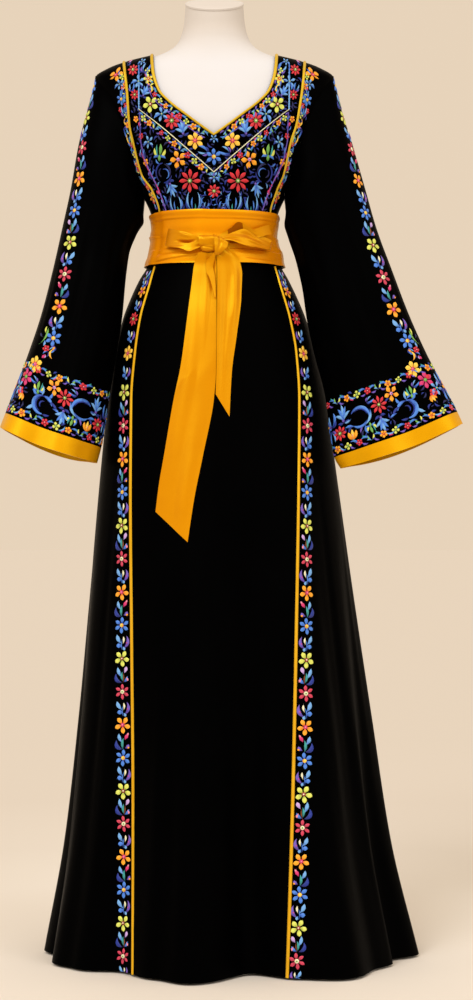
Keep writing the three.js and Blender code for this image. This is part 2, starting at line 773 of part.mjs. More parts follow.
const bodiceHalves = { left: bodiceFrontHalf(-1), right: bodiceFrontHalf(1) };
const bodiceSides = { left: reversed(bodiceSideFront(-1)), right: bodiceSideFront(1) };
const frontWalls = Object.values(bodiceHalves).map((half) => wall(half, clothWall));
add("bodice_front_centre", joined(...frontWalls), cloth);
add("bodice_side_front_left", wall(bodiceSides.left, clothWall), cloth);
add("bodice_side_front_right", wall(bodiceSides.right, clothWall), cloth);
add("bodice_back_left", wall(bodiceBack(-1), clothWall), cloth);
add("bodice_back_right", wall(bodiceBack(1), clothWall), cloth);

const frontSeams = {
  left: (z) => seamAngle(onSkirt, -1, z),
  right: (z) => seamAngle(onSkirt, 1, z),
};
const skirtPanels = {
  skirt_front_centre: skirtPanel(frontSeams.left, frontSeams.right, 13),
  skirt_side_front_left: skirtPanel(() => -90, frontSeams.left, 8),
  skirt_side_front_right: skirtPanel(frontSeams.right, () => 90, 8),
  skirt_back_left: skirtPanel(() => -180, () => -90, 11),
  skirt_back_right: skirtPanel(() => 90, () => 180, 11),
};
Object.entries(skirtPanels).forEach(([name, grid]) => add(name, wall(grid, clothWall), cloth));

["left", "right"].forEach((name) => {
  const alongs = [0, 0.03, 0.08, 0.15, 0.25, 0.37, 0.5, 0.63, 0.76, 0.87, cuffShare - 0.0003];
  add(`sleeve_${name}`, sleeveWall(name, alongs, clothWall), cloth);
  add(`sleeve_cuff_${name}`, sleeveWall(name, [cuffShare + 0.0003, 0.978, 1], satinWall), satin);
});

const sashTopRow = bodiceHeights.indexOf(sash.top + 2);
const skirtTrimRow = skirtHeights.indexOf(sash.bottom - 2);
add("neck_binding", neckBinding(), satin);
add("bodice_piping_left", piping(bodiceSides.left, reversed(bodiceHalves.left), sashTopRow, shoulderRow), satin);
add("bodice_piping_right", piping(bodiceHalves.right, bodiceSides.right, sashTopRow, shoulderRow), satin);
const { skirt_front_centre: centre, skirt_side_front_left: sideLeft, skirt_side_front_right: sideRight } =
  skirtPanels;
add("skirt_piping_left", piping(sideLeft, centre, 0, skirtTrimRow), satin);
add("skirt_piping_right", piping(centre, sideRight, 0, skirtTrimRow), satin);

add("sash_band", sashBand(), satin);
add("sash_knot", sashKnot(), satin);
add("sash_loop_left", satinBand(loopRows.left, 10), satin);
add("sash_loop_right", satinBand(loopRows.right, 10), satin);
add("sash_strap_tip", satinBand(strapTipRows, 4), satin);
add("sash_tail_left", tail(tailRows.left), satin);
add("sash_tail_right", tail(tailRows.right), satin);

export default jalabiya;
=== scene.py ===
"""An embroidered black jalabiya on a dress form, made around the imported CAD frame.

Lengths in the tables are millimetres; a mesh is scaled to metres as it is made. +Z is up, the front
faces -Y and "left" is the -X side, as seen from the front.
"""

import math
from functools import partial

import bpy
import numpy as np
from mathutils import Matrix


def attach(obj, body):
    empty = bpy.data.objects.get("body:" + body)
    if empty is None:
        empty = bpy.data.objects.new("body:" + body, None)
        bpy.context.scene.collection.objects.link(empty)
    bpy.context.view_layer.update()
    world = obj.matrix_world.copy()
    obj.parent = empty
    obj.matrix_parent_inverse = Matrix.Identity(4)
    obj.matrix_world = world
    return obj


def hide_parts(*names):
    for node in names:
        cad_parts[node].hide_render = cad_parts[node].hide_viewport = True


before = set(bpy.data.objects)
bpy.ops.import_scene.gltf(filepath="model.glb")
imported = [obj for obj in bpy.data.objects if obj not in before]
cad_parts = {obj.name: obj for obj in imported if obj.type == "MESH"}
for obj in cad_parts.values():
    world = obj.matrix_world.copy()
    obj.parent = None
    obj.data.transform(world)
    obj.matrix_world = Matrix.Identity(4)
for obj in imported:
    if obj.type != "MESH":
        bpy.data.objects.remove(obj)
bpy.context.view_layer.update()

# ---------------------------------------------------------------- camera
camera_data = bpy.data.cameras.new("camera")
camera_data.lens = 84.3
camera_data.sensor_width = 36
camera = bpy.data.objects.new("camera", camera_data)
camera.location = (0.0348, -3.7, 0.722)
camera.rotation_euler = (math.radians(90), 0, 0)
bpy.context.collection.objects.link(camera)
bpy.context.scene.camera = camera
bpy.context.scene.view_settings.view_transform = "Standard"

# ---------------------------------------------------------------- driving sizes
CLOTH = 1.2
SATIN = 1.2
SATIN_WALL = 2.0
CLOTH_OFF_FORM = 3.7
SEAM_GAP = 0.04
WAIST = 1129.0
HEM = 4.0
SASH = {"bottom": 1088.0, "top": 1170.0, "room": 1.0}
SASH_GRID = (132, 216)
ARMHOLE = {"centre": 1294.0, "half": 94.0, "cut": 0.1}
NECK_SIDE = 1419.5
NECK_EDGE = NECK_SIDE - 0.5
NECK_BACK = 1415.0
NECK_TIP = 1285.0
SHOULDER_SEAM = 142.0
SHOULDER_LOW = 1392
CUFF_SHARE = 0.955
CUFF_SAG = 7.0
# Shares of a sleeve's length: the step its axis is read over, how far in its normals are read, and how far
# down they lean with the shoulder. Its long folds deepen with a power of the share.
AXIS_STEP = 0.03
SLEEVE_INSIDE = (0.012, 0.99)
SHOULDER_LEAN = 0.03
SLEEVE_FLARE = 1.4
SLEEVE_HEAD_ROOM = 0.2
ARMHOLE_BLEND = 0.2
NECK_TILT = {"slope": math.tan(math.radians(20)), "low": 1440, "high": 1500, "axis": -10}
BUST = {"side": 72.0, "height": 1285.0, "spread": 38.0, "depth": 9.0}
SIDES = {"left": -1, "right": 1}


# ---------------------------------------------------------------- tables
class Curve:
    """A smooth curve through a table's column that never swings past its rows."""

    def __init__(self, keys, values):
        self.keys = np.asarray(keys, float)
        self.values = np.asarray(values, float)
        secants = np.diff(self.values) / np.diff(self.keys)
        before, after = secants[:-1], secants[1:]
        same_way = before * after > 0
        total = np.where(same_way, before + after, 1)
        inner = np.where(same_way, 2 * before * after / total, 0)
        self.slopes = np.concatenate([secants[:1], inner, secants[-1:]])

    def __call__(self, key):
        key = np.clip(np.asarray(key, float), self.keys[0], self.keys[-1])
        i = np.clip(np.searchsorted(self.keys, key, side="left") - 1, 0, len(self.keys) - 2)
        width = self.keys[i + 1] - self.keys[i]
        t = (key - self.keys[i]) / width
        rise = 3 * t**2 - 2 * t**3
        out = t**3 - 2 * t**2 + t
        into = t**3 - t**2
        step = (self.values[i + 1] - self.values[i]) * rise
        return self.values[i] + step + width * (self.slopes[i] * out + self.slopes[i + 1] * into)


def curves(columns, rows):
    """One curve for each column after the first, which is the key."""
    table = np.array(rows, float)
    return {name: Curve(table[:, 0], table[:, i + 1]) for i, name in enumerate(columns[1:])}


FORM = curves(
    ("z", "side", "front", "back"),
    [
        (800, 122, 80, 92),
        (815, 136, 92, 104),
        (900, 147, 99, 112),
        (975, 143, 98, 106),
        (1038, 127, 92, 95),
        (1092, 99.5, 83, 80),
        (1129, 92.6, 78, 71),
        (1168, 95.6, 81, 71),
        (1200, 108, 88, 75),
        (1250, 135, 99, 83),
        (1300, 153, 105, 88),
        (1350, 172, 95, 90),
        (1385, 187, 81, 82),
        (1399, 167, 74, 77),
        (1407.5, 143.5, 70, 73),
        (1419.5, 95.6, 64, 65),
        (1433, 67, 59, 55),
        (1446, 56, 56, 49),
        (1472, 48, 55, 42),
        (1500, 45.5, 57, 36),
    ],
)

SKIRT = curves(
    ("z", "left", "right", "front", "back"),
    [
        (4, 256, 300, 201, 218),
        (185, 228, 262, 190, 204),
        (374, 211, 239, 176, 187),
        (564, 197, 216, 160, 168),
        (754, 181, 193.5, 142, 148),
        (880, 168, 177, 127, 133),
        (960, 155, 158.5, 117, 122),
        (1006, 145, 145, 110, 114),
        (1038, 133, 132, 103, 105),
        (1070, 118, 116.5, 95, 93),
        (1092, 104.5, 104.5, 88.5, 84.5),
        (1129, 96.1, 96.1, 81.6, 74.6),
    ],
)

# The skirt's folds: angle, half the width in degrees, depth at the hem, height where it fades out.
SKIRT_FOLDS = [
    (-8, 13, 25, 800),
    (-38, 18, -30, 760),
    (-70, 12, 9, 860),
    (-86, 9, -12, 640),
    (-101, 13, 21, 780),
    (-121, 13, -17, 700),
    (-142, 15, 20, 800),
    (-165, 14, -22, 690),
    (-187, 15, 24, 820),
    (-209, 14, -20, 720),
    (-231, 14, 22, 790),
    (-251, 12, -16, 660),
    (-268, 12, 24, 800),
    (76, 10, -17, 680),
    (39, 18, 36, 860),
    (12, 13, -46, 740),
]

SKIRT_FLARE = 1.25  # the power by which the folds deepen downwards
# Fine creases of the skirt: angle at the hem, lean in degrees for each metre up, half the width in
# degrees, depth, and the heights between which the crease lies.
SKIRT_CREASES = [
    (-24, 5, 5, 2.2, -80, 620),
    (-15, -3, 4, -1.8, -60, 430),
    (-3, 4, 4.5, 1.6, 60, 900),
    (5, -6, 4, 2.0, -60, 560),
    (22, -4, 5, 2.6, -80, 760),
    (31, 2, 4, -1.9, -60, 480),
    (50, -8, 5, 2.4, -60, 690),
    (60, -5, 4, -2.2, 40, 860),
    (68, -9, 4.5, 2.3, -60, 540),
    (-52, 6, 5, 2.5, -60, 720),
    (-62, 8, 4, -1.8, 60, 900),
    (-78, 5, 4, 2.1, -60, 520),
    (-94, 3, 4, -2.0, -60, 660),
    (-111, 6, 4.5, 2.4, -60, 800),
    (-131, -4, 5, -2.3, -60, 610),
    (-152, 5, 4.5, 2.6, -60, 880),
    (-172, -3, 4, -2.1, -60, 500),
    (-197, 4, 5, 2.2, -60, 740),
    (-219, -5, 4.5, -2.4, 40, 900),
    (-241, 5, 4, 2.3, -60, 640),
    (-259, -4, 4, -2.0, -60, 560),
    (84, -6, 4, 2.2, -60, 820),
]

SEAM = curves(
    ("z", "left", "right"),
    [
        (4, 122, 111),
        (266, 122.5, 119.5),
        (508, 125.3, 125.2),
        (752, 127.9, 130),
        (876, 127.5, 131.5),
        (950, 122, 127),
        (1005, 114, 117),
        (1063, 98.4, 100.6),
        (1129, 84, 85.5),
        (1171, 84.5, 86.7),
        (1207, 96.5, 97.5),
        (1230, 112, 107.5),
        (1280, 125.5, 119),
        (1305, 131, 127.3),
        (1359, 135.4, 136.6),
        (1407.5, 142, 142),
    ],
)

NECK_HALF = curves(
    ("z", "half"),
    [(1285, 0), (1310, 36), (1336, 68), (1356, 84), (1386, 92.5), (1419.5, 95.6)],
)["half"]

# Half the width of the satin piping.
PIPING_HALF = curves(
    ("z", "half"), [(4, 2.6), (700, 2.5), (950, 2.1), (1086, 1.8), (1172, 1.5), (1250, 1.9), (1400, 2.3)]
)["half"]

SLEEVE_COLUMNS = ("along", "out_x", "out_z", "in_x", "in_z", "middle", "depth")
SLEEVE = {
    "left": curves(
        SLEEVE_COLUMNS,
        [
            (0, 190, 1391, 112.5, 1200, -3, 48),
            (0.06, 197, 1369, 109, 1183, -4, 50),
            (0.13, 204, 1330, 109.5, 1166, -6, 51),
            (0.24, 216, 1272, 123, 1139, -10, 51),
            (0.35, 226, 1212, 135, 1106, -14, 50),
            (0.47, 239, 1150, 139.5, 1066, -19, 50),
            (0.6, 254, 1080, 144.2, 1010, -26, 52),
            (0.73, 271, 1012, 153.3, 948, -32, 55),
            (0.85, 291, 950, 162.6, 890, -38, 58),
            (0.955, 326, 857, 176.5, 803, -45, 62),
            (1, 334, 836, 182.5, 780, -47, 63),
        ],
    ),
    "right": curves(
        SLEEVE_COLUMNS,
        [
            (0, 190, 1391, 112.5, 1200, -3, 48),
            (0.06, 199, 1367, 109, 1183, -4, 50),
            (0.13, 207, 1322, 108.5, 1164, -7, 50),
            (0.24, 221, 1270, 117, 1132, -12, 49),
            (0.35, 237, 1212, 129, 1096, -18, 48),
            (0.47, 254, 1150, 138.5, 1050, -25, 46),
            (0.6, 279, 1080, 145, 1003, -33, 44),
            (0.73, 304, 1012, 156.5, 948, -42, 42),
            (0.85, 331, 950, 171.5, 890, -50, 40),
            (0.955, 378, 859, 187, 788, -61, 38),
            (1, 386, 841.5, 196, 771.5, -63, 37),
        ],
    ),
}

# How far the cuffs' rims hang below the sleeves' line: in front, behind.
CUFF_DROP = {"left": (4, -0.5), "right": (4, 1)}
# Where round the rim each is deepest, and half its width, in degrees.
CUFF_DROP_SPANS = ((85, 125), (265, 95))

# A sleeve's long folds: angle round it (0 outside, 90 front), half the width, the depth at the cuff.
SLEEVE_FOLDS = [
    (38, 26, 5),
    (76, 24, -6),
    (112, 26, 5),
    (215, 30, -6),
    (262, 28, 5),
    (310, 30, -5),
]

# Fine creases of the sleeves: angle, lean in degrees for the whole length, half the width, depth, and
# the shares of the length between which the crease lies.
SLEEVE_CREASES = [
    (60, 14, 9, 1.6, 0.28, 0.86),
    (95, -12, 8, 1.9, 0.40, 0.99),
    (128, -16, 9, -1.7, 0.16, 0.70),
    (146, -22, 8, 2.2, 0.10, 0.52),
    (160, -18, 7, -2.0, 0.10, 0.44),
    (172, -10, 7, 1.8, 0.12, 0.60),
    (22, 10, 8, -1.2, 0.45, 0.95),
    (200, 12, 9, 2.0, 0.12, 0.66),
    (232, 8, 9, 1.6, 0.30, 0.92),
    (252, -8, 8, -1.6, 0.42, 0.97),
    (290, 6, 9, 1.7, 0.25, 0.80),
    (335, -10, 9, 1.3, 0.40, 0.93),
]

# Drag lines of the bodice: ring angle, height, lean in degrees of ring for 100 mm up, half the width
# in mm, half the length in mm, and depth.
BODICE_CREASES = [
    (62, 1218, 22, 5, 26, 1.3),
    (-64, 1222, -20, 5, 28, 1.4),
    (70, 1238, 26, 6, 26, -1.0),
    (-72, 1242, -24, 6, 26, -1.1),
    (150, 1215, -30, 6, 34, 1.5),
    (-152, 1220, 28, 6, 36, 1.6),
    (132, 1240, -34, 7, 34, -1.3),
    (-128, 1236, 36, 7, 34, -1.4),
    (170, 1200, -12, 5, 28, 1.2),
    (-168, 1196, 14, 5, 28, 1.1),
    (118, 1330, 20, 8, 40, 1.5),
    (-120, 1326, -22, 8, 40, 1.4),
]

# The sash's wrapped folds: height in the middle, rise towards the right side, width and depth.
SASH_FOLDS = [(1166, -1, 6, 1.6), (1146, 8, 14, 1.0), (1124, -12, 12, 1.4), (1099, 4, 10, 1.2)]

# Its overlapping layers. Below its line a layer stands out by its depth, or above it where the depth is
# negative: the angle and height at the line's two ends, the depth, and the half width of its edge.
SASH_LAYERS = [
    (-70, 1157, 78, 1157, -1.6, 1.6),
    (-178, 1150, -120, 1141, 1.6, 1.2),
    (-118, 1140, -54, 1131, 2.0, 1.0),
    (-74, 1111, -20, 1110, 1.8, 2.2),
    (-58, 1090, -2, 1103, -2.6, 1.0),
    (-64, 1101, -30, 1103, 1.4, 2.2),
    (12, 1110, 80, 1107, 2.2, 1.0),
    (20, 1096, 62, 1092, 1.4, 2.4),
    (66, 1134, 118, 1128, 1.8, 1.0),
    (70, 1116, 110, 1106, 1.6, 1.6),
    (112, 1138, 176, 1122, 1.8, 1.2),
    (-176, 1116, -104, 1130, 1.8, 1.2),
    (130, 1104, 178, 1112, 1.5, 1.2),
]

FLOOR_HALF = 30
FLOOR_REACH = 4.0
# The floor's colour by its distance from the dress, in metres: it grows darker where no shadow falls.
FLOOR_COLOURS = [
    (0.02, (0.840, 0.795, 0.748)),
    (0.12, (0.850, 0.796, 0.728)),
    (0.34, (0.852, 0.806, 0.745)),
    (0.75, (0.830, 0.795, 0.745)),
    (1.2, (0.745, 0.705, 0.650)),
    (1.95, (0.688, 0.642, 0.583)),
    (3.4, (0.674, 0.630, 0.570)),
]

# The bow and its tails are strips. Each row gives the strip's two edges in front view and how far each
# stands off what lies behind it.
STRIP_COLUMNS = ("upper_x", "upper_z", "lower_x", "lower_z", "upper_lift", "lower_lift")
STRIPS = {
    "bow_loop_left": [
        (-20, 1123, -20, 1109, 9, 9),
        (-28, 1126, -27, 1106, 10, 10),
        (-40, 1130, -38, 1101.5, 12, 12.5),
        (-54, 1134.5, -51, 1106, 12.5, 13),
        (-66, 1138, -69, 1110, 10.5, 11),
        (-71, 1139.5, -76, 1114, 6.5, 7),
        (-68, 1139, -71, 1115, 2.2, 2.6),
        (-52, 1134, -50, 1114, 2, 2.2),
        (-22, 1124, -22, 1112, 4, 4),
    ],
    "bow_loop_right": [
        (3, 1125, 8, 1116, 5, 5),
        (14, 1133, 18, 1117, 4.5, 4),
        (27, 1142, 30, 1117, 4.0, 3.0),
        (38, 1150, 42, 1117, 5, 3.0),
        (58, 1140.5, 60, 1114, 7, 4.5),
        (78, 1128, 78, 1109, 9, 6),
        (89, 1121.5, 88, 1106.5, 11.5, 9),
        (88, 1117.5, 87, 1106, 13, 13),
        (74, 1122.5, 72, 1107, 12.5, 16),
        (60, 1130, 58, 1109, 12.5, 17),
        (46.5, 1137.5, 43, 1112, 12.5, 17),
        (31, 1132.5, 29, 1117, 12.5, 16),
        (13, 1124, 14, 1120, 11, 12),
    ],
    "bow_strap_tip": [
        (56, 1137, 68, 1126, 6, 8),
        (72, 1143.5, 80, 1130, 8, 11),
        (84, 1147.5, 88.5, 1132, 8, 12),
        (89, 1149, 89.5, 1133, 7, 11),
    ],
    "bow_knot_band": [
        (-20, 1119, 3, 1119.5, 6, 6),
        (-22, 1125.5, 4, 1127, 11, 11),
        (-23, 1123.5, 5, 1125, 17, 18),
        (-23, 1117.5, 5.5, 1118, 19, 20.5),
        (-22.5, 1111, 5, 1111, 17, 18),
        (-21, 1108.5, 3, 1107.5, 11, 12),
        (-19, 1111, 2, 1110, 6.5, 6.5),
    ],
    "bow_knot_wrap": [
        (0, 1122, 8, 1125, 10, 9),
        (-1, 1127, 13, 1122, 17, 14),
        (0.5, 1120, 22, 1113, 21.5, 16.5),
        (1, 1111, 20, 1107, 22, 16.5),
        (1.5, 1101, 13, 1100, 19, 14.5),
        (2.5, 1095, 7, 1096, 14, 11),
    ],
    "bow_curl": [
        (3, 1103, 6, 1101, 13.5, 13),
        (-3, 1095, 3.5, 1096, 13.5, 12.5),
        (-12, 1084, 0.5, 1088, 10.5, 9.5),
        (-12, 1072, -1, 1078, 9, 6),
        (-7, 1062, 1, 1068, 6.8, 4),
        (-2.5, 1048, 2.5, 1052, 5, 3.2),
        (1, 1032, 3, 1032, 4, 3.4),
    ],
    "bow_tail_left": [
        (-22, 1101, 0, 1100, 12, 12.5),
        (-29, 1083, 4, 1082, 6.5, 7),
        (-35, 1044, 4.2, 1044, 2.6, 2.6),
        (-42, 990, 4.2, 985, 1.7, 1.4),
        (-50, 929, 3.8, 922, 1.7, 1.4),
        (-61, 875, 0, 873, 1.7, 1.5),
        (-75, 792, -16, 790, 1.7, 1.7),
        (-83, 745, -29, 725, 1.7, 1.7),
        (-88, 704, -39, 658, 1.7, 1.7),
    ],
    "bow_tail_right": [
        (-3, 1106, 8, 1121, 13.5, 13),
        (3, 1098, 23, 1106, 12, 13),
        (4.5, 1086, 35, 1092, 9, 10),
        (5, 1062, 42, 1066, 6.4, 5.2),
        (5, 1030, 41.5, 1032, 4.6, 2.8),
        (4.6, 980, 35, 975, 3.8, 1.8),
        (4.4, 930, 27.5, 917, 3.8, 1.6),
        (3, 883, 24, 849, 3.6, 1.6),
    ],
}

# Long soft folds of the strips: the share across where a fold starts and ends, the shares along between
# which it lies, half its width and its depth.
STRIP_FOLDS = {
    "bow_tail_left": [
        (0.50, 0.90, -0.14, 0.30, 0.26, -2.6),
        (0.86, 0.84, 0.10, 0.60, 0.24, -1.6),
        (0.62, 0.60, 0.05, 0.50, 0.26, 1.3),
        (0.30, 0.20, 0.20, 0.90, 0.26, 1.5),
        (0.66, 0.74, 0.55, 1.15, 0.26, 1.5),
    ],
    "bow_tail_right": [
        (0.18, 0.30, -0.10, 0.26, 0.18, -2.6),
        (0.46, 0.58, -0.10, 0.34, 0.24, 1.6),
        (0.80, 0.86, -0.06, 0.30, 0.14, -1.8),
        (0.70, 0.78, 0.22, 0.80, 0.22, 2.4),
        (0.34, 0.40, 0.20, 1.05, 0.26, -1.8),
    ],
    "bow_loop_left": [
        (0.30, 0.66, 0.10, 0.46, 0.10, -8.0),
        (0.70, 0.80, -0.15, 0.18, 0.16, -2.5),
        (0.12, 0.20, 0.18, 0.42, 0.16, 1.6),
    ],
    "bow_loop_right": [
        (0.25, 0.35, 0.62, 0.90, 0.22, -2.2),
        (0.66, 0.50, 0.60, 0.85, 0.20, 1.8),
        (0.80, 0.60, 0.78, 1.05, 0.20, -1.6),
        (0.85, 0.80, 0.38, 0.62, 0.25, 2.0),
    ],
    "bow_knot_band": [(0.2, 0.25, 0.3, 0.75, 0.16, 1.2), (0.7, 0.8, 0.4, 0.85, 0.2, -1.6)],
    "bow_knot_wrap": [(0.5, 0.4, 0.1, 0.9, 0.2, -1.6)],
}
# The bow's pieces: the grid, the flat size, the cut area of what hangs, the solid it stands for, and the
# shares along between which its back is drawn in a dull satin darkened with painted shade.
BOW = {
    "bow_loop_left": ((90, 40), (0.12, 0.026), None, "sash_loop_left", (0.5, 1)),
    "bow_loop_right": ((120, 40), (0.18, 0.024), None, "sash_loop_right", (0.12, 0.27)),
    "bow_strap_tip": ((16, 10), (0.035, 0.017), None, "sash_strap_tip", None),
    "bow_knot_band": ((60, 30), (0.048, 0.027), None, None, None),
    "bow_knot_wrap": ((60, 30), (0.038, 0.018), None, None, None),
    "bow_curl": ((60, 16), (0.076, 0.010), None, None, None),
    "bow_tail_left": ((110, 40), (0.45, 0.06), 0.0245, "sash_tail_left", None),
    "bow_tail_right": ((110, 40), (0.29, 0.045), 0.0086, "sash_tail_right", None),
}
KNOT = {
    "angle": -4.0,
    "z": 1112.5,
    "lift": 9.0,
    "size": (27.0, 16.0, 22.0),
    "square": 2.9,
    "pleat": 0.2,
    "inwards": (0.3, 1, 0.3),
}
KNOT_PLEATS = [(0.55, 0.16, 0.9), (0.1, -0.1, 1.2), (-0.4, -0.22, 1.0)]

# Embroidery threads: the colour at a stitch's root and at its tip, as red, green and blue to 255.
THREADS = {
    "blue": ((14, 42, 150), (72, 132, 230)),
    "light_blue": ((26, 80, 184), (112, 172, 236)),
    "deep_blue": ((12, 16, 84), (26, 50, 150)),
    "navy": ((8, 10, 48), (18, 26, 92)),
    "violet": ((58, 40, 135), (112, 88, 196)),
    "red": ((132, 8, 28), (210, 42, 56)),
    "rose": ((112, 12, 42), (206, 60, 90)),
    "magenta": ((140, 16, 78), (214, 50, 118)),
    "crimson": ((96, 6, 26), (152, 18, 46)),
    "orange": ((206, 66, 10), (252, 172, 36)),
    "golden": ((222, 116, 18), (252, 208, 76)),
    "lime": ((122, 150, 34), (220, 228, 104)),
    "green": ((52, 118, 54), (112, 176, 80)),
    "teal": ((16, 90, 100), (54, 158, 156)),
    "pink": ((206, 84, 120), (236, 142, 168)),
    "lilac": ((142, 112, 196), (200, 168, 230)),
    "pale": ((208, 208, 164), (238, 238, 202)),
    "brown": ((104, 46, 22), (146, 76, 32)),
}

# The flower bands run in this order, downwards.
BAND_FLOWERS = ("lime_flower", "rose_flower", "orange_flower", "blue_flower")
# The skirt's band: the flowers' heights, with a last sprig below them, and how far the band's edge and
# half its width lie from the seam where it narrows at the top.
SKIRT_BAND = {"top": 890.6, "pitch": 51.9, "closing": 0.08, "count": 18, "last": 23}
SKIRT_BAND_EDGE, SKIRT_BAND_HALF = 4, 13.5
# The band's middle: height, distance from the seam.
SKIRT_BAND_LINE = {
    "left": [(20, 25), (60, 23), (150, 17.5)],
    "right": [(50, 14), (300, 16.5), (700, 17.5)],
}
SKIRT_BAND_TOP = [
    ("golden_flower", 950, 1.0),
    ("red_flower", 1003, 0.95),
    ("orange_flower", 1046, 0.85),
    ("sprig_bud", 1074, 0.8),
]
SLEEVE_BAND = {"left": (0.05, 0.785), "right": (0.045, 0.807), "count": 9}
SLEEVE_BAND_ROWS = (0.004, 0.93, 160)
SLEEVE_BAND_REACH = (-60, 61)
SLEEVE_BAND_END = [
    ("tiny_red", -6, 19, 0, 1.3),
    ("pink_bud", -3, 28, 160, 0.6),
    ("golden_leaf", 7, 24, 20, 0.9),
    ("leaf_pair", 4, 17, 150, 0.5),
    ("trailing_leaf", -16, -3, 0, 1.0),
]
SLEEVE_BAND_ANGLE = curves(
    ("along", "left", "right"),
    [
        (0, 4, 2),
        (0.14, 12, 8),
        (0.22, 27, 16),
        (0.32, 38, 27),
        (0.42, 42, 32),
        (0.52, 48, 39),
        (0.62, 51, 42),
        (0.7, 55, 44),
        (0.8, 58, 43),
        (0.9, 52, 34),
    ],
)

# The motifs of the front, in front view: half the width across, the height, the turn and the size. Those
# off the middle are sewn again on the other side, mirrored.
BIB = [
    ("lime_flower", 98, 1332, 8, 1.12),
    ("blue_star", 80, 1315, 20, 1.12),
    ("red_flower", 64.5, 1304, 0, 1.12),
    ("blue_fan", 48, 1291, -10, 0.95),
    ("golden_daisy", 28.5, 1274, 0, 1.12),
    ("blue_star", 0, 1277, 0, 0.62),
    ("blue_flower", 0, 1250, 0, 1.05),
    ("leaf_pair", 17, 1259, -68, 0.8),
    ("orange_star", 55, 1247, 14, 1.08),
    ("lily", 84, 1256, 6, 1.12),
    ("blue_star", 101, 1276, 14, 0.95),
    ("dark_scroll", 78, 1229, 10, 0.95),
    ("blue_fan", 66, 1206, 160, 0.95),
    ("large_red_flower", 37, 1215, 0, 1.08),
    ("blue_star", 0, 1220, 0, 0.8),
    ("red_flower", 0, 1199, 12, 0.9),
    ("grass", 30, 1184, 2, 1.1),
    ("grass", 58, 1181, -6, 1.0),
    ("dark_scroll", 13, 1184, 200, 0.6),
    ("leaf_pair", 12, 1178, 20, 0.5),
    ("pink_bud", 86, 1198, -30, 0.6),
    ("leaf_pair", 78, 1188, -30, 0.7),
    ("red_flower", 126, 1389, 0, 0.78),
    ("blue_star", 117, 1370, 30, 1.0),
    ("lime_flower", 101.5, 1373, 20, 0.72),
    ("leaf_pair", 128, 1362, 10, 0.6),
    ("leaf_pair", 106, 1391, 30, 0.8),
    ("blue_star", 112, 1402, 10, 0.6),
    ("pink_bud", 134, 1402, 0, 0.6),
    ("golden_leaf", 99, 1356, 0, 0.8),
    ("blue_fan", 107, 1352, 30, 0.8),
    ("red_flower", 123, 1350, 0, 0.72),
    ("pink_bud", 116, 1300, 10, 0.55),
    ("tiny_orange", 121, 1312, 0, 1.1),
    ("tiny_red", 113, 1286, 0, 1.1),
    ("leaf_pair", 112, 1262, 20, 0.6),
    ("tiny_orange", 106, 1247, 0, 1.2),
    ("leaf_pair", 98, 1232, 30, 0.6),
]
# The embroidered V: its two ends in front view, and its row of small flowers below it.
BIB_VEE = {"x": 117.0, "top": 1327.0, "tip": 1227.5, "half": 0.75, "row": (0, 9)}
# The line and the row of small flowers beside the neckline, as steps outwards and down from it.
BIB_NECK = {"out": 4, "row": (6, -5), "line": (9.5, 9), "half": 0.6}
BIB_ROW = {"pitch": 6.8, "size": 1.0}
BIB_STEPS = (0.5, (-88, 88.5))
# The front's small leaves: the corners of their field, their spacing, and their room to seam and neckline.
BIB_FILL = {"low": (-150, 1174), "high": (150, 1398), "spacing": 9.5, "seam": 5, "neck": 7}
CORD_HEIGHT = 1.1
# The front's cords: the thread, half the width, and the places they pass in front view.
BIB_CORDS = [
    ("light_blue", 1.3, [(117, 1396), (116.5, 1370), (116.5, 1345), (116, 1326)]),
    (
        "violet",
        1.1,
        [(115, 1322), (113.5, 1278), (108, 1252), (99, 1232), (90, 1214), (80, 1190), (75, 1173)],
    ),
    ("magenta", 0.7, [(113, 1262), (104, 1240), (94, 1222), (86, 1206), (79, 1186)]),
]

SIDE_ROW = {"across": 5.5, "low": 1190, "high": 1392, "pitch": 7.5}
SIDE_FILL = {"near": 9, "far": 20, "spacing": 8.0, "widening": 14}
# The border outside the princess seams: the distance from the seam, the height, the turn and the size.
SIDE_BORDER = [
    ("orange_flower", 15, 1390, 0, 1.05),
    ("blue_star", 12, 1371, 20, 0.85),
    ("pink_bud", 9, 1359, 0, 0.55),
    ("blue_flower", 13, 1347, 0, 0.85),
    ("leaf_pair", 10, 1329, 0, 0.85),
    ("tiny_red", 18, 1331, 0, 1.0),
    ("golden_leaf", 8, 1311, 170, 0.8),
    ("leaf_pair", 12, 1296, 160, 0.7),
    ("lime_leaves", 8, 1283, 0, 0.8),
    ("pink_bud", 7, 1264, 150, 0.5),
    ("leaf_pair", 7, 1250, 0, 0.55),
    ("tiny_red", 6, 1238, 0, 0.9),
    ("leaf_pair", 7, 1226, 10, 0.5),
    ("tiny_orange", 7, 1214, 0, 0.9),
    ("orange_flower", 9, 1198, 0, 0.75),
    ("leaf_pair", 7, 1183, 0, 0.6),
    ("tiny_red", 10, 1190, 0, 0.8),
]

# The sleeves' lower band: the angle round the front half of the sleeve, the distance up from the cuff,
# the turn and the size. The back half has the same, mirrored.
LOWER_BAND_HEIGHT = 80.0
# The lower band's rows of small flowers, kept clear of where the band's two ends meet.
LOWER_ROW = {"pitch": 9.4, "size": 1.2}
LOWER_END_GAP = 4
LOWER_FIRST_ROW = 8.5
LOWER_FILL = {"low": 20, "under": 12, "spacing": 12.0}
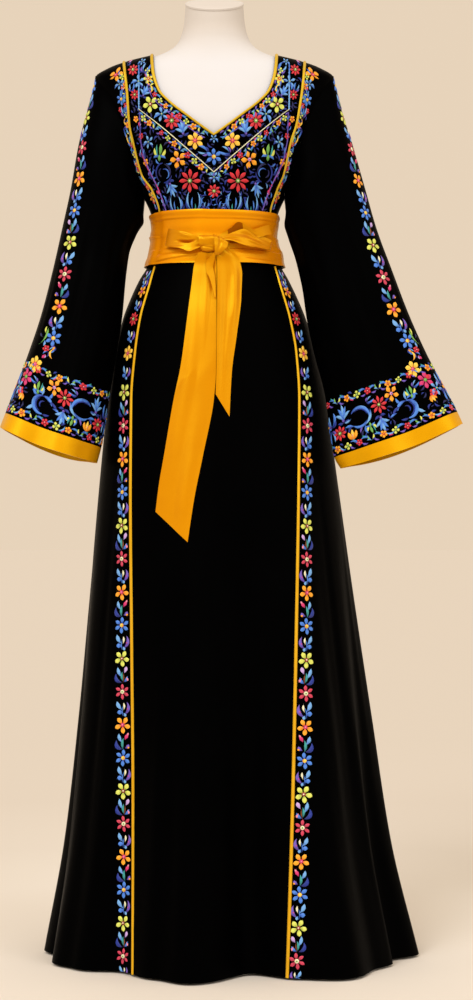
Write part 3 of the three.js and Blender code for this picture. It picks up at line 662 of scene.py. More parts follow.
# The angles round the sleeve, the share of its length at which they are measured, and the steps up it.
LOWER_ANGLES = (-182, 182, 183)
LOWER_MEASURED_AT = 0.9
LOWER_STEPS = (-0.0025, (0, 0.16))
LOWER_BAND = [
    ("golden_flower", 52, 86, 0, 1.10),
    ("pink_flower", 43, 63, 10, 1.05),
    ("blue_star", 33, 45, 0, 1.15),
    ("tulip", 44, 33, 160, 0.7),
    ("tiny_red", 40, 40, 0, 1.6),
    ("lily", 64, 52, 0, 0.9),
    ("scroll", 72, 32, 20, 1.0),
    ("orange_star", 83, 64, 10, 1.0),
    ("large_red_flower", 98, 54, 0, 0.85),
    ("blue_fan", 99, 27, 175, 1.0),
    ("arch_scroll", 120, 44, 20, 1.0),
    ("lily", 110, 26, 170, 0.75),
    ("blue_fan", 141, 56, 0, 1.1),
    ("red_flower", 149, 31, 0, 1.0),
    ("tulip", 131, 22, 0, 0.95),
    ("leaf_pair", 56, 64, 60, 0.6),
    ("leaf_pair", 106, 66, 70, 0.6),
    ("leaf_pair", 18, 60, 0, 1.0),
    ("leaf_pair", 14, 30, 180, 1.0),
    ("leaf_pair", 164, 54, 0, 1.0),
    ("leaf_pair", 166, 28, 180, 0.9),
    ("blue_flower", 180, 46, 0, 0.85),
    ("orange_star", 0, 46, 0, 0.85),
]


# ---------------------------------------------------------------- small maths
def smooth_step(value, low, high):
    t = np.clip((value - low) / (high - low), 0, 1)
    return t * t * (3 - 2 * t)


def fold_share(away, spread):
    """A soft fold's share of its depth, from 1 at its middle to 0 at its edges."""
    near = np.clip(np.abs(away) / spread, 0, 1)
    return (1 + np.cos(np.pi * near)) / 2


def spaced(*runs):
    """Numbers in even steps through runs of (first, last, count)."""
    return np.concatenate([np.linspace(*run) for run in runs])


def turned_by(angle, start):
    return (angle - start + 180) % 360 - 180


def unit(vectors):
    return vectors / np.maximum(np.linalg.norm(vectors, axis=-1, keepdims=True), 1e-9)


def point(x, y, z):
    return np.stack(np.broadcast_arrays(x, y, z), axis=-1).astype(float)


def run_along(path, axis=0):
    """The distance along a path at each of its spots. Axis 1 runs along each row of a grid."""
    run = np.cumsum(np.linalg.norm(np.diff(path, axis=axis), axis=-1), axis=axis)
    return np.concatenate([np.zeros_like(run.take([0], axis)), run], axis=axis)


def spread_out(place, angle):
    """Two numbers or grids as grids of one shape, with the angle's sine and cosine."""
    place, angle = np.broadcast_arrays(np.asarray(place, float), np.asarray(angle, float))
    return place, angle, np.sin(np.radians(angle)), np.cos(np.radians(angle))


def place_where(quantity, value, low, high):
    """The angles or heights in a range at which a rising quantity reaches the values."""
    low = np.broadcast_to(np.asarray(low, float), np.shape(value)).copy()
    high = np.broadcast_to(np.asarray(high, float), np.shape(value)).copy()
    for _ in range(30):
        middle = (low + high) / 2
        below = quantity(middle) < value
        low = np.where(below, middle, low)
        high = np.where(below, high, middle)
    return (low + high) / 2


# ---------------------------------------------------------------- surfaces
# Angles round a ring are in degrees: 0 at the front, 90 on the right, 180 at the back.
def on_form(z, angle):
    z, angle, sine, cosine = spread_out(z, angle)
    x = FORM["side"](z) * sine
    reach = np.where(cosine > 0, FORM["front"](z), FORM["back"](z))
    rise = np.exp(-(((z - BUST["height"]) / BUST["spread"]) ** 2) / 2)
    across = np.exp(-(((np.abs(x) - BUST["side"]) / BUST["spread"]) ** 2) / 2)
    y = -reach * cosine - BUST["depth"] * rise * across * np.maximum(cosine, 0)
    tilt = NECK_TILT["slope"] * (y - NECK_TILT["axis"])
    return point(x, y, z + smooth_step(z, NECK_TILT["low"], NECK_TILT["high"]) * tilt)


def outward(surface, a, b, step_a, step_b):
    along_a = surface(a + step_a, b) - surface(a - step_a, b)
    along_b = surface(a, b + step_b) - surface(a, b - step_b)
    return unit(np.cross(along_b, along_a))


def form_normal(z, angle):
    return outward(on_form, z, angle, 0.5, 0.5)


BODICE_DEGREE = 1.9  # about how far round the bodice one degree reaches


def bodice_creases(z, angle):
    total = np.zeros(np.broadcast(z, angle).shape)
    for middle, height, lean, width, length, depth in BODICE_CREASES:
        away = turned_by(angle, middle + (z - height) / 100 * lean) * BODICE_DEGREE
        total = total + depth * fold_share(away, 2 * width) * fold_share(z - height, 1.5 * length)
    return total


def on_bodice(z, angle):
    lift = CLOTH_OFF_FORM + bodice_creases(z, angle)
    return on_form(z, angle) + form_normal(z, angle) * lift[..., None]


def bodice_normal(z, angle):
    return outward(on_bodice, z, angle, 0.8, 0.5)


def creased(depth, creases, place, angle, unit_length):
    """The depth with slanted creases added. Each leans by its angle for each unit of length."""
    for middle, lean, spread, crease, start, end in creases:
        share = fold_share(turned_by(angle, middle + lean * place / unit_length), spread)
        depth = depth + crease * share * fold_share(place - (start + end) / 2, (end - start) / 2)
    return depth


def on_skirt(z, angle):
    z, angle, sine, cosine = spread_out(z, angle)
    side = np.where(sine > 0, SKIRT["right"](z), SKIRT["left"](z))
    reach = np.where(cosine > 0, SKIRT["front"](z), SKIRT["back"](z))
    normal = unit(point(sine / side, -cosine / reach, 0))
    depth = np.zeros(z.shape)
    for middle, spread, hem_depth, top in SKIRT_FOLDS:
        fall = np.maximum(0, (top - z) / top) ** SKIRT_FLARE
        depth += hem_depth * fall * fold_share(turned_by(angle, middle), spread)
    depth = creased(depth, SKIRT_CREASES, z, angle, unit_length=1000)
    return point(side * sine, -reach * cosine, z) + normal * depth[..., None]


def skirt_normal(z, angle):
    return outward(on_skirt, z, angle, 1, 0.4)


def front_angle(surface, z, x):
    """The angle on the front half of a ring at which a surface lies x from the middle."""
    z, x = np.broadcast_arrays(np.asarray(z, float), np.asarray(x, float))
    edge = 90 * np.sign(x)
    found = place_where(lambda angle: surface(z, angle)[..., 0], x, -90, 90)
    return np.where(np.abs(x) >= np.abs(surface(z, edge)[..., 0]), edge, found)


def seam_angle(surface, label, z):
    return front_angle(surface, z, SIDES[label] * SEAM[label](z))


def shoulder_corner():
    """The height at which the bodice's ridge meets the sleeve."""
    def inwards(z):
        return -on_bodice(z, 90.0)[..., 0]

    return float(place_where(inwards, np.array(-SHOULDER_SEAM), SHOULDER_LOW, NECK_SIDE))


SHOULDER_CORNER = shoulder_corner()


def armhole_height(angle):
    return ARMHOLE["centre"] + ARMHOLE["half"] * np.cos(np.radians(angle))


def bodice_edge_angle(z, on_front):
    """The ring angle of the bodice's outer edge on the right: armhole, side seam or shoulder ridge."""
    z = np.asarray(z, float)
    cosine = np.clip((z - ARMHOLE["centre"]) / ARMHOLE["half"], -1, 1)
    x = on_bodice(z, 90.0)[..., 0] * (1 - ARMHOLE["cut"] * np.sqrt(1 - cosine**2))
    if on_front:
        found = front_angle(on_bodice, z, x)
    else:
        found = place_where(lambda angle: -on_bodice(z, angle)[..., 0], -x, 90, 180)
    return np.where(np.abs(cosine) >= 1, 90.0, found)


def sleeve_frame(label, along):
    """The middle of a sleeve's oval and the way from there to its outer edge."""
    line = {key: curve(along) for key, curve in SLEEVE[label].items()}
    outer = point(SIDES[label] * line["out_x"], line["middle"], line["out_z"])
    inner = point(SIDES[label] * line["in_x"], line["middle"], line["in_z"])
    return (outer + inner) / 2, (outer - inner) / 2


# The armhole's edge, kept as curves over the angle round the sleeve because it is asked for often.
edge_angles = np.linspace(0, 360, 145)
edge_heights = armhole_height(edge_angles)
edge_rings = np.where(
    np.sin(np.radians(edge_angles)) >= 0,
    bodice_edge_angle(edge_heights, True),
    bodice_edge_angle(edge_heights, False),
)
edge_points = on_bodice(edge_heights, edge_rings)
edge_normals = form_normal(edge_heights, edge_rings)


def along_edge(table, angle):
    angle = np.asarray(angle, float) % 360
    return np.stack([np.interp(angle, edge_angles, table[:, i]) for i in range(3)], axis=-1)


def on_sleeve(label, along, angle):
    """A sleeve's outside: along is 0 at the armhole and 1 at the cuff's edge."""
    along, angle, sine, cosine = spread_out(along, angle)
    centre, arm = sleeve_frame(label, along)
    before = sleeve_frame(label, np.maximum(0, along - AXIS_STEP))[0]
    axis = unit(sleeve_frame(label, np.minimum(1, along + AXIS_STEP))[0] - before)
    front = unit(np.cross(arm, axis))
    front = np.where(front[..., 1:2] > 0, -front, front)
    depth = SLEEVE[label]["depth"](along)
    arm_squared = np.sum(arm * arm, axis=-1)
    normal = unit(arm * (cosine / arm_squared)[..., None] + front * (sine / depth)[..., None])
    folds = np.zeros(along.shape)
    for middle, spread, fold_depth in SLEEVE_FOLDS:
        folds += fold_depth * fold_share(turned_by(angle, middle), spread)
    folds *= along**SLEEVE_FLARE
    folds = creased(folds, SLEEVE_CREASES, along, angle, unit_length=1)
    oval = centre + arm * cosine[..., None] + front * (depth * sine)[..., None]
    oval += normal * folds[..., None]
    oval[..., 2] -= CUFF_SAG * along**2 * sine**2

    share = 1 - smooth_step(along, 0, ARMHOLE_BLEND)
    root = along_edge(edge_points, angle) + np.array([SLEEVE_HEAD_ROOM, 0, 0])
    root = root * np.array([SIDES[label], 1, 1]) + centre - sleeve_frame(label, 0.0)[0]
    return oval + (root - oval) * share[..., None]


def sleeve_normal(label, along, angle):
    along, angle, _, cosine = spread_out(along, angle)
    inside = np.clip(along, *SLEEVE_INSIDE)
    out = SIDES[label] * outward(lambda a, b: on_sleeve(label, a, b), inside, angle, 0.01, 2)
    shoulder = along_edge(edge_normals, angle) * np.array([SIDES[label], 1, 1])
    lean = np.maximum(0, cosine) * (1 - smooth_step(along, 0, SHOULDER_LEAN))
    return unit(out + (shoulder - out) * lean[..., None])


LAYER_FADE = 9  # the degrees over which a layer of the sash fades at its ends


def sash_thickness(z, angle):
    total = SATIN_WALL
    turn = turned_by(angle, 0)
    for height, rise, width, depth in SASH_FOLDS:
        total = total + depth * fold_share(z - height - rise * np.sin(np.radians(angle)), width)
    for start, start_z, end, end_z, depth, edge in SASH_LAYERS:
        line = start_z + (end_z - start_z) * (turn - start) / (end - start)
        ends = smooth_step(turn, start, start + LAYER_FADE)
        ends = ends * (1 - smooth_step(turn, end - LAYER_FADE, end))
        total = total + abs(depth) * smooth_step(np.sign(depth) * (line - z), -edge, edge) * ends
    return total


def on_garment(z, angle):
    return np.where(np.asarray(z)[..., None] > WAIST, on_bodice(z, angle), on_skirt(z, angle))


def over_sash(z, angle, lift):
    outside = SASH["room"] + sash_thickness(z, angle) + lift
    return on_garment(z, angle) + skirt_normal(WAIST - 2, angle) * np.asarray(outside)[..., None]


# ---------------------------------------------------------------- meshes
def new_object(name, points, faces, uv, smooth):
    """A mesh object from points in millimetres, with one (u, v) in metres for each point."""
    mesh = bpy.data.meshes.new(name)
    mesh.from_pydata((np.asarray(points) / 1000).tolist(), [], faces)
    mesh.update()
    layer = mesh.uv_layers.new(name="cut")
    corners = np.empty(len(mesh.loops), int)
    mesh.loops.foreach_get("vertex_index", corners)
    layer.data.foreach_set("uv", uv[corners].ravel())
    mesh.shade_smooth()
    mesh.set_sharp_from_angle(angle=math.radians(smooth))
    piece = bpy.data.objects.new(name, mesh)
    bpy.context.collection.objects.link(piece)
    return piece


def closed_object(name, points, faces, uv, smooth=50):
    """A closed mesh object with its faces turned outwards."""
    piece = new_object(name, points, faces, uv, smooth)
    mesh = piece.data
    mesh.calc_loop_triangles()
    corners = np.empty(len(mesh.loop_triangles) * 3, int)
    mesh.loop_triangles.foreach_get("vertices", corners)
    places = np.empty(len(mesh.vertices) * 3)
    mesh.vertices.foreach_get("co", places)
    a, b, c = places.reshape(-1, 3)[corners.reshape(-1, 3)].transpose(1, 0, 2)
    if np.sum(a * np.cross(b, c)) < 0:
        mesh.flip_normals()
    return piece


def grid_uv(points):
    """Distances in metres along a grid's rows, from its middle column, and down that column."""
    middle = points.shape[1] // 2
    u = run_along(points, 1)
    u -= u[:, middle : middle + 1]
    v = run_along(points[:, middle])
    return (np.stack([u, np.broadcast_to(v[:, None], u.shape)], axis=-1) / 1000).reshape(-1, 2)


def point_numbers(rows, columns, first=0, closed=False):
    """A grid's point numbers. In a closed grid the first column comes again after the last."""
    index = np.arange(rows * columns).reshape(rows, columns) + first
    return np.concatenate([index, index[:, :1]], axis=1) if closed else index


def grid_faces(index):
    corners = (index[:-1, :-1], index[:-1, 1:], index[1:, 1:], index[1:, :-1])
    return np.stack(corners, axis=-1).reshape(-1, 4)


def rims(edges):
    """The faces that join a wall's two sides, from each edge's outer and inner points and its sense."""
    strips = []
    for outer, inner, turned in edges:
        rim = np.stack([outer[:-1], inner[:-1], inner[1:], outer[1:]], axis=-1)
        strips.append(rim if turned else rim[:, ::-1])
    return strips


def shell(name, outer, normals, thickness, closed=False):
    """A thin wall inside a grid of outer points. A closed grid joins its last column to its first."""
    rows, columns = outer.shape[:2]
    points = np.concatenate([outer.reshape(-1, 3), (outer - normals * thickness).reshape(-1, 3)])
    index = point_numbers(rows, columns, closed=closed)
    under = index + rows * columns
    edges = [(index[0], under[0], True), (index[-1], under[-1], False)]
    if not closed:
        edges += [(index[:, 0], under[:, 0], False), (index[:, -1], under[:, -1], True)]
    faces = np.concatenate([grid_faces(index), grid_faces(under)[:, ::-1], *rims(edges)])
    return closed_object(name, points, faces.tolist(), np.tile(grid_uv(outer), (2, 1)))


# ---------------------------------------------------------------- materials
def new_material(name, **sockets):
    material = bpy.data.materials.new(name)
    material.use_nodes = True
    shader = material.node_tree.nodes["Principled BSDF"]
    for socket, value in sockets.items():
        shader.inputs[socket.replace("_", " ")].default_value = value
    return material, material.node_tree, shader


def node(tree, kind, **values):
    made = tree.nodes.new(kind)
    for key, value in values.items():
        if hasattr(made, key):
            setattr(made, key, value)
        else:
            made.inputs[key.replace("_", " ")].default_value = value
    return made


def mixed_colours(tree, factor, stops, socket):
    """Colours along a factor, fed to a socket. Stops are (place, colour)."""
    ramp = tree.nodes.new("ShaderNodeValToRGB")
    while len(ramp.color_ramp.elements) < len(stops):
        ramp.color_ramp.elements.new(0.5)
    for element, (place, colour) in zip(ramp.color_ramp.elements, stops):
        element.position = place
        element.color = (*colour, 1)
    tree.links.new(factor, ramp.inputs["Fac"])
    tree.links.new(ramp.outputs["Color"], socket)


def own_place(tree):
    return tree.nodes.new("ShaderNodeTexCoord").outputs["Object"]


def mapped(tree, place, scale, turn=0):
    mapping = node(tree, "ShaderNodeMapping", Scale=scale, Rotation=(0, 0, math.radians(turn)))
    tree.links.new(place, mapping.inputs["Vector"])
    return mapping.outputs["Vector"]


def scaled(tree, scale):
    """The cut's (u, v), scaled."""
    return mapped(tree, tree.nodes.new("ShaderNodeTexCoord").outputs["UV"], scale)


def part_of(tree, vector, axis):
    split = tree.nodes.new("ShaderNodeSeparateXYZ")
    tree.links.new(vector, split.inputs["Vector"])
    return split.outputs[axis]


def noise(tree, place, scale, detail, roughness=0.5):
    cloud = node(tree, "ShaderNodeTexNoise", Scale=scale, Detail=detail, Roughness=roughness)
    tree.links.new(place, cloud.inputs["Vector"])
    return cloud.outputs["Fac"]


def ranged(tree, value, low, high):
    """A value's share of the way from low to high."""
    share = node(tree, "ShaderNodeMapRange", From_Min=low, From_Max=high)
    tree.links.new(value, share.inputs["Value"])
    return share.outputs["Result"]


def blended(tree, base, extra, share):
    """The base with a share of the extra added."""
    total = node(tree, "ShaderNodeMath", operation="MULTIPLY_ADD")
    total.inputs[1].default_value = share
    tree.links.new(extra, total.inputs[0])
    tree.links.new(base, total.inputs[2])
    return total.outputs["Value"]


def raised(tree, shader, height, strength):
    bump = node(tree, "ShaderNodeBump", Strength=strength, Distance=0.0002)
    tree.links.new(height, bump.inputs["Height"])
    tree.links.new(bump.outputs["Normal"], shader.inputs["Normal"])


def black_cloth():
    """A dull black crepe with a soft grey bloom where it turns away."""
    material, tree, shader = new_material(
        "black_cloth",
        Roughness=0.40,
        Specular_IOR_Level=0.008,
        Sheen_Weight=0.003,
        Sheen_Roughness=0.3,
        Sheen_Tint=(0.75, 0.78, 0.85, 1),
    )
    stops = [(0.3, (0.0001, 0.0001, 0.00015)), (0.7, (0.0003, 0.0003, 0.0004))]
    mixed_colours(tree, noise(tree, own_place(tree), 9, 5, 0.6), stops, shader.inputs["Base Color"])
    sizes = {"Scale": 1.0, "Mortar_Size": 0.012, "Brick_Width": 0.5, "Row_Height": 0.25}
    weave = node(tree, "ShaderNodeTexBrick", **sizes)
    for colour, grey in (("Color1", 1), ("Color2", 0.7), ("Mortar", 0)):
        weave.inputs[colour].default_value = (grey, grey, grey, 1)
    tree.links.new(scaled(tree, (900, 900, 1)), weave.inputs["Vector"])
    raised(tree, shader, weave.outputs["Fac"], 0.25)
    return material


def satin(name, dark, light, gloss):
    """Satin with fine threads along its length and a soft, coloured shine."""
    material, tree, shader = new_material(
        name,
        Roughness=0.36,
        IOR=1.7,
        Specular_IOR_Level=gloss,
        Specular_Tint=(1, 0.8, 0.02, 1),
        Anisotropic=0.4,
    )
    cloud = noise(tree, own_place(tree), 16, 4, 0.55)
    mixed_colours(tree, cloud, [(0.25, dark), (0.75, light)], shader.inputs["Base Color"])
    raised(tree, shader, noise(tree, scaled(tree, (60, 2200, 1)), 1, 2), 0.2)
    return material


def form_cover():
    """Pale jersey, cooler at the chest, with painted shade that darkens and warms it towards the neck."""
    material, tree, shader = new_material(
        "form_cover",
        Roughness=0.85,
        Specular_IOR_Level=0.25,
        Sheen_Weight=0.08,
        Sheen_Roughness=0.5,
    )
    place = own_place(tree)
    # Painted shade: by height, the colour darkens and warms towards the neck.
    height = ranged(tree, part_of(tree, place, "Z"), 1.40, 1.47)
    blend = blended(tree, height, noise(tree, place, 14, 5, 0.6), 0.25)
    stops = [(0.1, (0.700, 0.715, 0.760)), (1.0, (0.655, 0.620, 0.590))]
    mixed_colours(tree, blend, stops, shader.inputs["Base Color"])
    raised(tree, shader, noise(tree, place, 900, 2), 0.3)
    return material


def brushed_metal():
    material, tree, shader = new_material("stand_metal", Metallic=1.0, Roughness=0.38)
    grain = noise(tree, own_place(tree), 220, 3)
    stops = [(0.3, (0.50, 0.50, 0.49)), (0.7, (0.62, 0.62, 0.61))]
    mixed_colours(tree, grain, stops, shader.inputs["Base Color"])
    raised(tree, shader, grain, 0.1)
    return material


def linear(colour):
    """A colour given to 255 as amounts of light."""
    shares = np.array(colour) / 255
    return tuple(np.where(shares > 0.04045, ((shares + 0.055) / 1.055) ** 2.4, shares / 12.92).tolist())


def thread(name, root, tip):
    """Glossy embroidery thread in fine slanted rows, paler towards the stitch's tip."""
    material, tree, shader = new_material(
        f"thread_{name}", Roughness=0.42, Specular_IOR_Level=0.35, Sheen_Weight=0.1, Sheen_Roughness=0.4
    )
    share = node(tree, "ShaderNodeUVMap", uv_map="share").outputs["UV"]
    mottle = noise(tree, own_place(tree), 240, 2)
    blend = blended(tree, part_of(tree, share, "X"), mottle, 0.9)
    mixed_colours(tree, blend, [(0.35, linear(root)), (1.0, linear(tip))], shader.inputs["Base Color"])
    rows = node(tree, "ShaderNodeTexWave", Scale=1.0, Distortion=1.5, Detail=1.0)
    cut = node(tree, "ShaderNodeUVMap", uv_map="cut").outputs["UV"]
    tree.links.new(mapped(tree, cut, (420, 420, 1), 62), rows.inputs["Vector"])
    raised(tree, shader, rows.outputs["Fac"], 0.5)
    return material


BLACK, COVER, METAL = black_cloth(), form_cover(), brushed_metal()
YELLOW = satin("yellow_satin", (0.57, 0.168, 0.0002), (0.64, 0.210, 0.0004), 1.0)
# The sash's satin is a lighter copy of the yellow satin: painted light that offsets the shade the sash
# lies in.
SASH_SATIN_PAINTED_LIGHTER = satin("sash_satin_painted_lighter", (0.73, 0.213, 0.0002), (0.85, 0.274, 0.0004), 1.0)
BRIGHT = satin("bright_satin", (0.64, 0.26, 0.0004), (0.74, 0.34, 0.002), 1.0)
SKIRT_GOLD = satin("skirt_piping_satin", (0.64, 0.315, 0.011), (0.74, 0.395, 0.020), 0.9)
GOLD = satin("piping_satin", (0.57, 0.345, 0.016), (0.67, 0.44, 0.04), 0.8)
# The satin's dull back, made far darker than the face as painted shade for the hollows inside the loops.
DULL_BACK_AND_SHADE = satin("satin_reverse_and_painted_shade", (0.24, 0.055, 0.0004), (0.32, 0.08, 0.0006), 0.1)
THREAD_FINISHES = {name: thread(name, *colours) for name, colours in THREADS.items()}


def dress(piece, material, replaced):
    piece.data.materials.append(material)
    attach(piece, "root")
    if replaced:
        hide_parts(replaced)


# ---------------------------------------------------------------- form and stand
round_angles = np.linspace(0, 360, 96, endpoint=False)
FORM_ROWS = ((800, 830, 5), (840, 1440, 90), (1445, 1500, 14))


def form_piece():
    rings = on_form(spaced(*FORM_ROWS)[:, None], round_angles[None, :])
    rows, columns = rings.shape[:2]
    points = np.concatenate([rings.reshape(-1, 3), rings[:1].mean(axis=1), rings[-1:].mean(axis=1)])
    index = point_numbers(rows, columns, closed=True)
    faces = grid_faces(index).tolist()
    bottom, top = index[0].tolist(), index[-1].tolist()
    low, high = rows * columns, rows * columns + 1
    for j in range(columns):
        faces += [(low, bottom[j + 1], bottom[j]), (high, top[j], top[j + 1])]
    uv = np.concatenate([grid_uv(rings), np.zeros((2, 2))])
    dress(closed_object("form_padded_body", points, faces, uv), COVER, "form_body")


form_piece()
for name, material in (("form_neck_cap", COVER), ("stand_base", METAL), ("stand_pole", METAL)):
    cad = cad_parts[name]
    cad.data.materials.clear()
    cad.data.materials.append(material)


# ---------------------------------------------------------------- panels
def gap_angle(surface, z, angle):
    return SEAM_GAP / 2 / np.linalg.norm(surface(z, angle + 0.5) - surface(z, angle - 0.5), axis=-1)


def ring_panel(surface, heights, start, end, columns):
    """A grid over a surface between two edge angles for each height, with half a seam's gap kept."""
    start = start + gap_angle(surface, heights, start) * np.sign(end - start)
    end = end - gap_angle(surface, heights, end) * np.sign(end - start)
    share = np.linspace(0, 1, columns)
    angles = start[:, None] + (end - start)[:, None] * share[None, :]
    return np.broadcast_to(heights[:, None], angles.shape), angles


def cloth_panel(name, surface, normal, heights, angles):
    piece = shell(f"panel_{name}", surface(heights, angles), normal(heights, angles), CLOTH)
    dress(piece, BLACK, name)


skirt_heights = spaced((HEM, 960, 96), (968, WAIST - SEAM_GAP / 2, 22))
flat_side = np.full(skirt_heights.shape, 90.0)
skirt_left = seam_angle(on_skirt, "left", skirt_heights)
skirt_right = seam_angle(on_skirt, "right", skirt_heights)
SKIRT_PANELS = {
    "skirt_front_centre": (skirt_left, skirt_right, 64),
    "skirt_side_front_left": (-flat_side, skirt_left, 40),
    "skirt_side_front_right": (skirt_right, flat_side, 46),
    "skirt_back_left": (-2 * flat_side, -flat_side, 68),
    "skirt_back_right": (flat_side, 2 * flat_side, 72),
}
for name, (start, end, columns) in SKIRT_PANELS.items():
    cloth_panel(name, on_skirt, skirt_normal, *ring_panel(on_skirt, skirt_heights, start, end, columns))

side_heights = spaced((WAIST + SEAM_GAP / 2, 1380, 56), (1383, SHOULDER_CORNER, 12))
full_heights = np.concatenate([side_heights, np.linspace(SHOULDER_CORNER + 1, NECK_SIDE, 6)])


def front_half(label):
    """Half of the front middle panel, from the middle or the V neckline out to the princess seam."""
    side = SIDES[label]
    below = full_heights[full_heights < NECK_TIP]
    heights = np.concatenate([below, [NECK_TIP], full_heights[full_heights > NECK_TIP]])
    heights = np.minimum(heights, NECK_EDGE)
    inner = side * np.abs(front_angle(on_bodice, heights, NECK_HALF(heights)))
    edge = seam_angle(on_bodice, label, heights)
    outer = edge - side * gap_angle(on_bodice, heights, edge)
    angles = inner[:, None] + (outer - inner)[:, None] * np.linspace(0, 1, 30)[None, :]
    return np.broadcast_to(heights[:, None], angles.shape), angles


def joined_halves(name, grids, surface, normal, thickness):
    """Two halves of a panel whose lower rows share their first column, as one closed wall."""
    rows, columns = grids[0][0].shape
    first = point_numbers(rows, columns)
    shared = int(np.sum(grids[0][0][:, 0] <= NECK_TIP))
    points, uvs, faces = [], [], []
    for half, (heights, angles) in enumerate(grids):
        outer = surface(heights, angles)
        inner = outer - normal(heights, angles) * thickness
        points += [outer.reshape(-1, 3), inner.reshape(-1, 3)]
        uvs += [grid_uv(outer)] * 2
        index = first + 2 * half * rows * columns
        index[:shared, 0] = first[:shared, 0]
        under = index + rows * columns
        edges = (
            (index[0], under[0], True),
            (index[-1], under[-1], False),
            (index[shared - 1 :, 0], under[shared - 1 :, 0], False),
            (index[:, -1], under[:, -1], True),
        )
        below = np.roll(grid_faces(under)[:, ::-1], 1, axis=1)
        sheet = np.concatenate([grid_faces(index), below, *rims(edges)])
        faces.append(sheet if half else sheet[:, ::-1])
    points, uvs, faces = np.concatenate(points), np.concatenate(uvs), np.concatenate(faces)
    used = np.unique(faces)
    renumbered = np.zeros(len(points), int)
    renumbered[used] = np.arange(len(used))
    return closed_object(name, points[used], renumbered[faces].tolist(), uvs[used])


front_halves = [front_half("left"), front_half("right")]
front = joined_halves("panel_bodice_front_centre", front_halves, on_bodice, bodice_normal, CLOTH)
dress(front, BLACK, "bodice_front_centre")


def side_front(label):
    start = seam_angle(on_bodice, label, side_heights)
    end = SIDES[label] * bodice_edge_angle(side_heights, True)
    return ring_panel(on_bodice, side_heights, start, end, 14)


def bodice_back(label):
    share = np.linspace(0, 1, 40)[None, :]
    drop = (NECK_SIDE - NECK_BACK) * np.sin(share * np.pi / 2)
    heights = full_heights[:, None]
    heights = heights - drop * smooth_step(heights, SHOULDER_CORNER, NECK_SIDE)
    outer = bodice_edge_angle(heights, False)
    start = outer + gap_angle(on_bodice, heights, outer)
    end = 180 - gap_angle(on_bodice, heights, np.full(heights.shape, 180.0))
    return heights, SIDES[label] * (start + (end - start) * share)


for label in SIDES:
    cloth_panel(f"bodice_side_front_{label}", on_bodice, bodice_normal, *side_front(label))
    cloth_panel(f"bodice_back_{label}", on_bodice, bodice_normal, *bodice_back(label))

# ---------------------------------------------------------------- sleeves and cuffs
CUFF_GAP = 0.0003
sleeve_rows = spaced((0, 0.2, 22), (0.215, CUFF_SHARE - CUFF_GAP, 58))
cuff_rows = np.linspace(CUFF_SHARE + CUFF_GAP, 1, 10)


def sleeve_tube(label):
    outer = on_sleeve(label, sleeve_rows[:, None], round_angles[None, :])
    normals = sleeve_normal(label, sleeve_rows[:, None], round_angles[None, :])
    piece = shell(f"tube_sleeve_{label}", outer, normals, CLOTH, closed=True)
    dress(piece, BLACK, f"sleeve_{label}")


def sleeve_cuff(label):
    outer = on_sleeve(label, cuff_rows[:, None], round_angles[None, :])
    drop = np.zeros(round_angles.shape)
    for deepest, (middle, spread) in zip(CUFF_DROP[label], CUFF_DROP_SPANS):
        drop += deepest * fold_share(round_angles - middle, spread)
    down = np.linspace(0, 1, len(cuff_rows))[:, None] * drop[None, :]
    outer = outer + unit(outer[-1] - outer[0])[None, :] * down[..., None]
    normals = sleeve_normal(label, cuff_rows[:, None], round_angles[None, :])
    piece = shell(f"tube_sleeve_cuff_{label}", outer, normals, SATIN_WALL, closed=True)
    dress(piece, BRIGHT, f"sleeve_cuff_{label}")
    rim = float(run_along(outer[-1])[-1]) / 1000


for label in SIDES:
    sleeve_tube(label)
    sleeve_cuff(label)


# ---------------------------------------------------------------- piping and binding
PIPING_SECTION = {"lift": 0.5, "height": 2.0}
NECK_BINDING = {
    "width": 3.4,
    "more": 1.4,
    "more_between": (1340, 1390),
    "section": {"lift": 0.6, "height": 1.6},
}
# The power that rounds a strip's crown, and how thick its edges are.
CROWN = 1.2
STRIP_EDGE = 0.02


def rounded_strip(name, left, right, out, lift, height):
    """A soft cord-like strip through spots that each have two feet and an outward direction."""
    left, right = left + out * lift, right + out * lift
    shares = np.linspace(0, 1, 7)
    crown = height * np.sqrt(np.maximum(0, 1 - (2 * shares - 1) ** 2)) ** CROWN
    top = left[:, None] + (right - left)[:, None] * shares[:, None] + out[:, None] * crown[:, None]
    ring = np.concatenate([top, (top[:, ::-1] - out[:, None] * STRIP_EDGE)[:, 1:-1]], axis=1)
    rows, columns = ring.shape[:2]
    faces = grid_faces(point_numbers(rows, columns, closed=True)).tolist()
    faces += [tuple(range(columns)), tuple(reversed(range((rows - 1) * columns, rows * columns)))]
    return closed_object(name, ring.reshape(-1, 3), faces, grid_uv(ring), smooth=70)


def seam_piping(name, material, surface, normal, low, high, count):
    heights = np.linspace(low, high, count)
    middle = seam_angle(surface, name.split("_")[2], heights)
    at, out = surface(heights, middle), normal(heights, middle)
    along = unit(np.gradient(at, axis=0))
    across = unit(np.cross(along, out)) * PIPING_HALF(heights)[:, None]
    piece = rounded_strip(name, at - across, at + across, out, **PIPING_SECTION)
    dress(piece, material, name.replace("_cord", ""))


for label in SIDES:
    low, high = SASH["top"] + 2, SHOULDER_CORNER
    seam_piping(f"bodice_piping_{label}_cord", GOLD, on_bodice, bodice_normal, low, high, 80)
    low, high = HEM, SASH["bottom"] - 2
    seam_piping(f"skirt_piping_{label}_cord", SKIRT_GOLD, on_skirt, skirt_normal, low, high, 220)


def neck_line(count):
    """Heights and signed angles along the V neckline, from the left shoulder to the right."""
    half = np.linspace(0, 1, count)
    heights = NECK_TIP + (NECK_EDGE - NECK_TIP) * half
    angles = np.abs(front_angle(on_bodice, heights, NECK_HALF(heights)))
    return np.concatenate([heights[::-1], heights[1:]]), np.concatenate([-angles[::-1], angles[1:]])


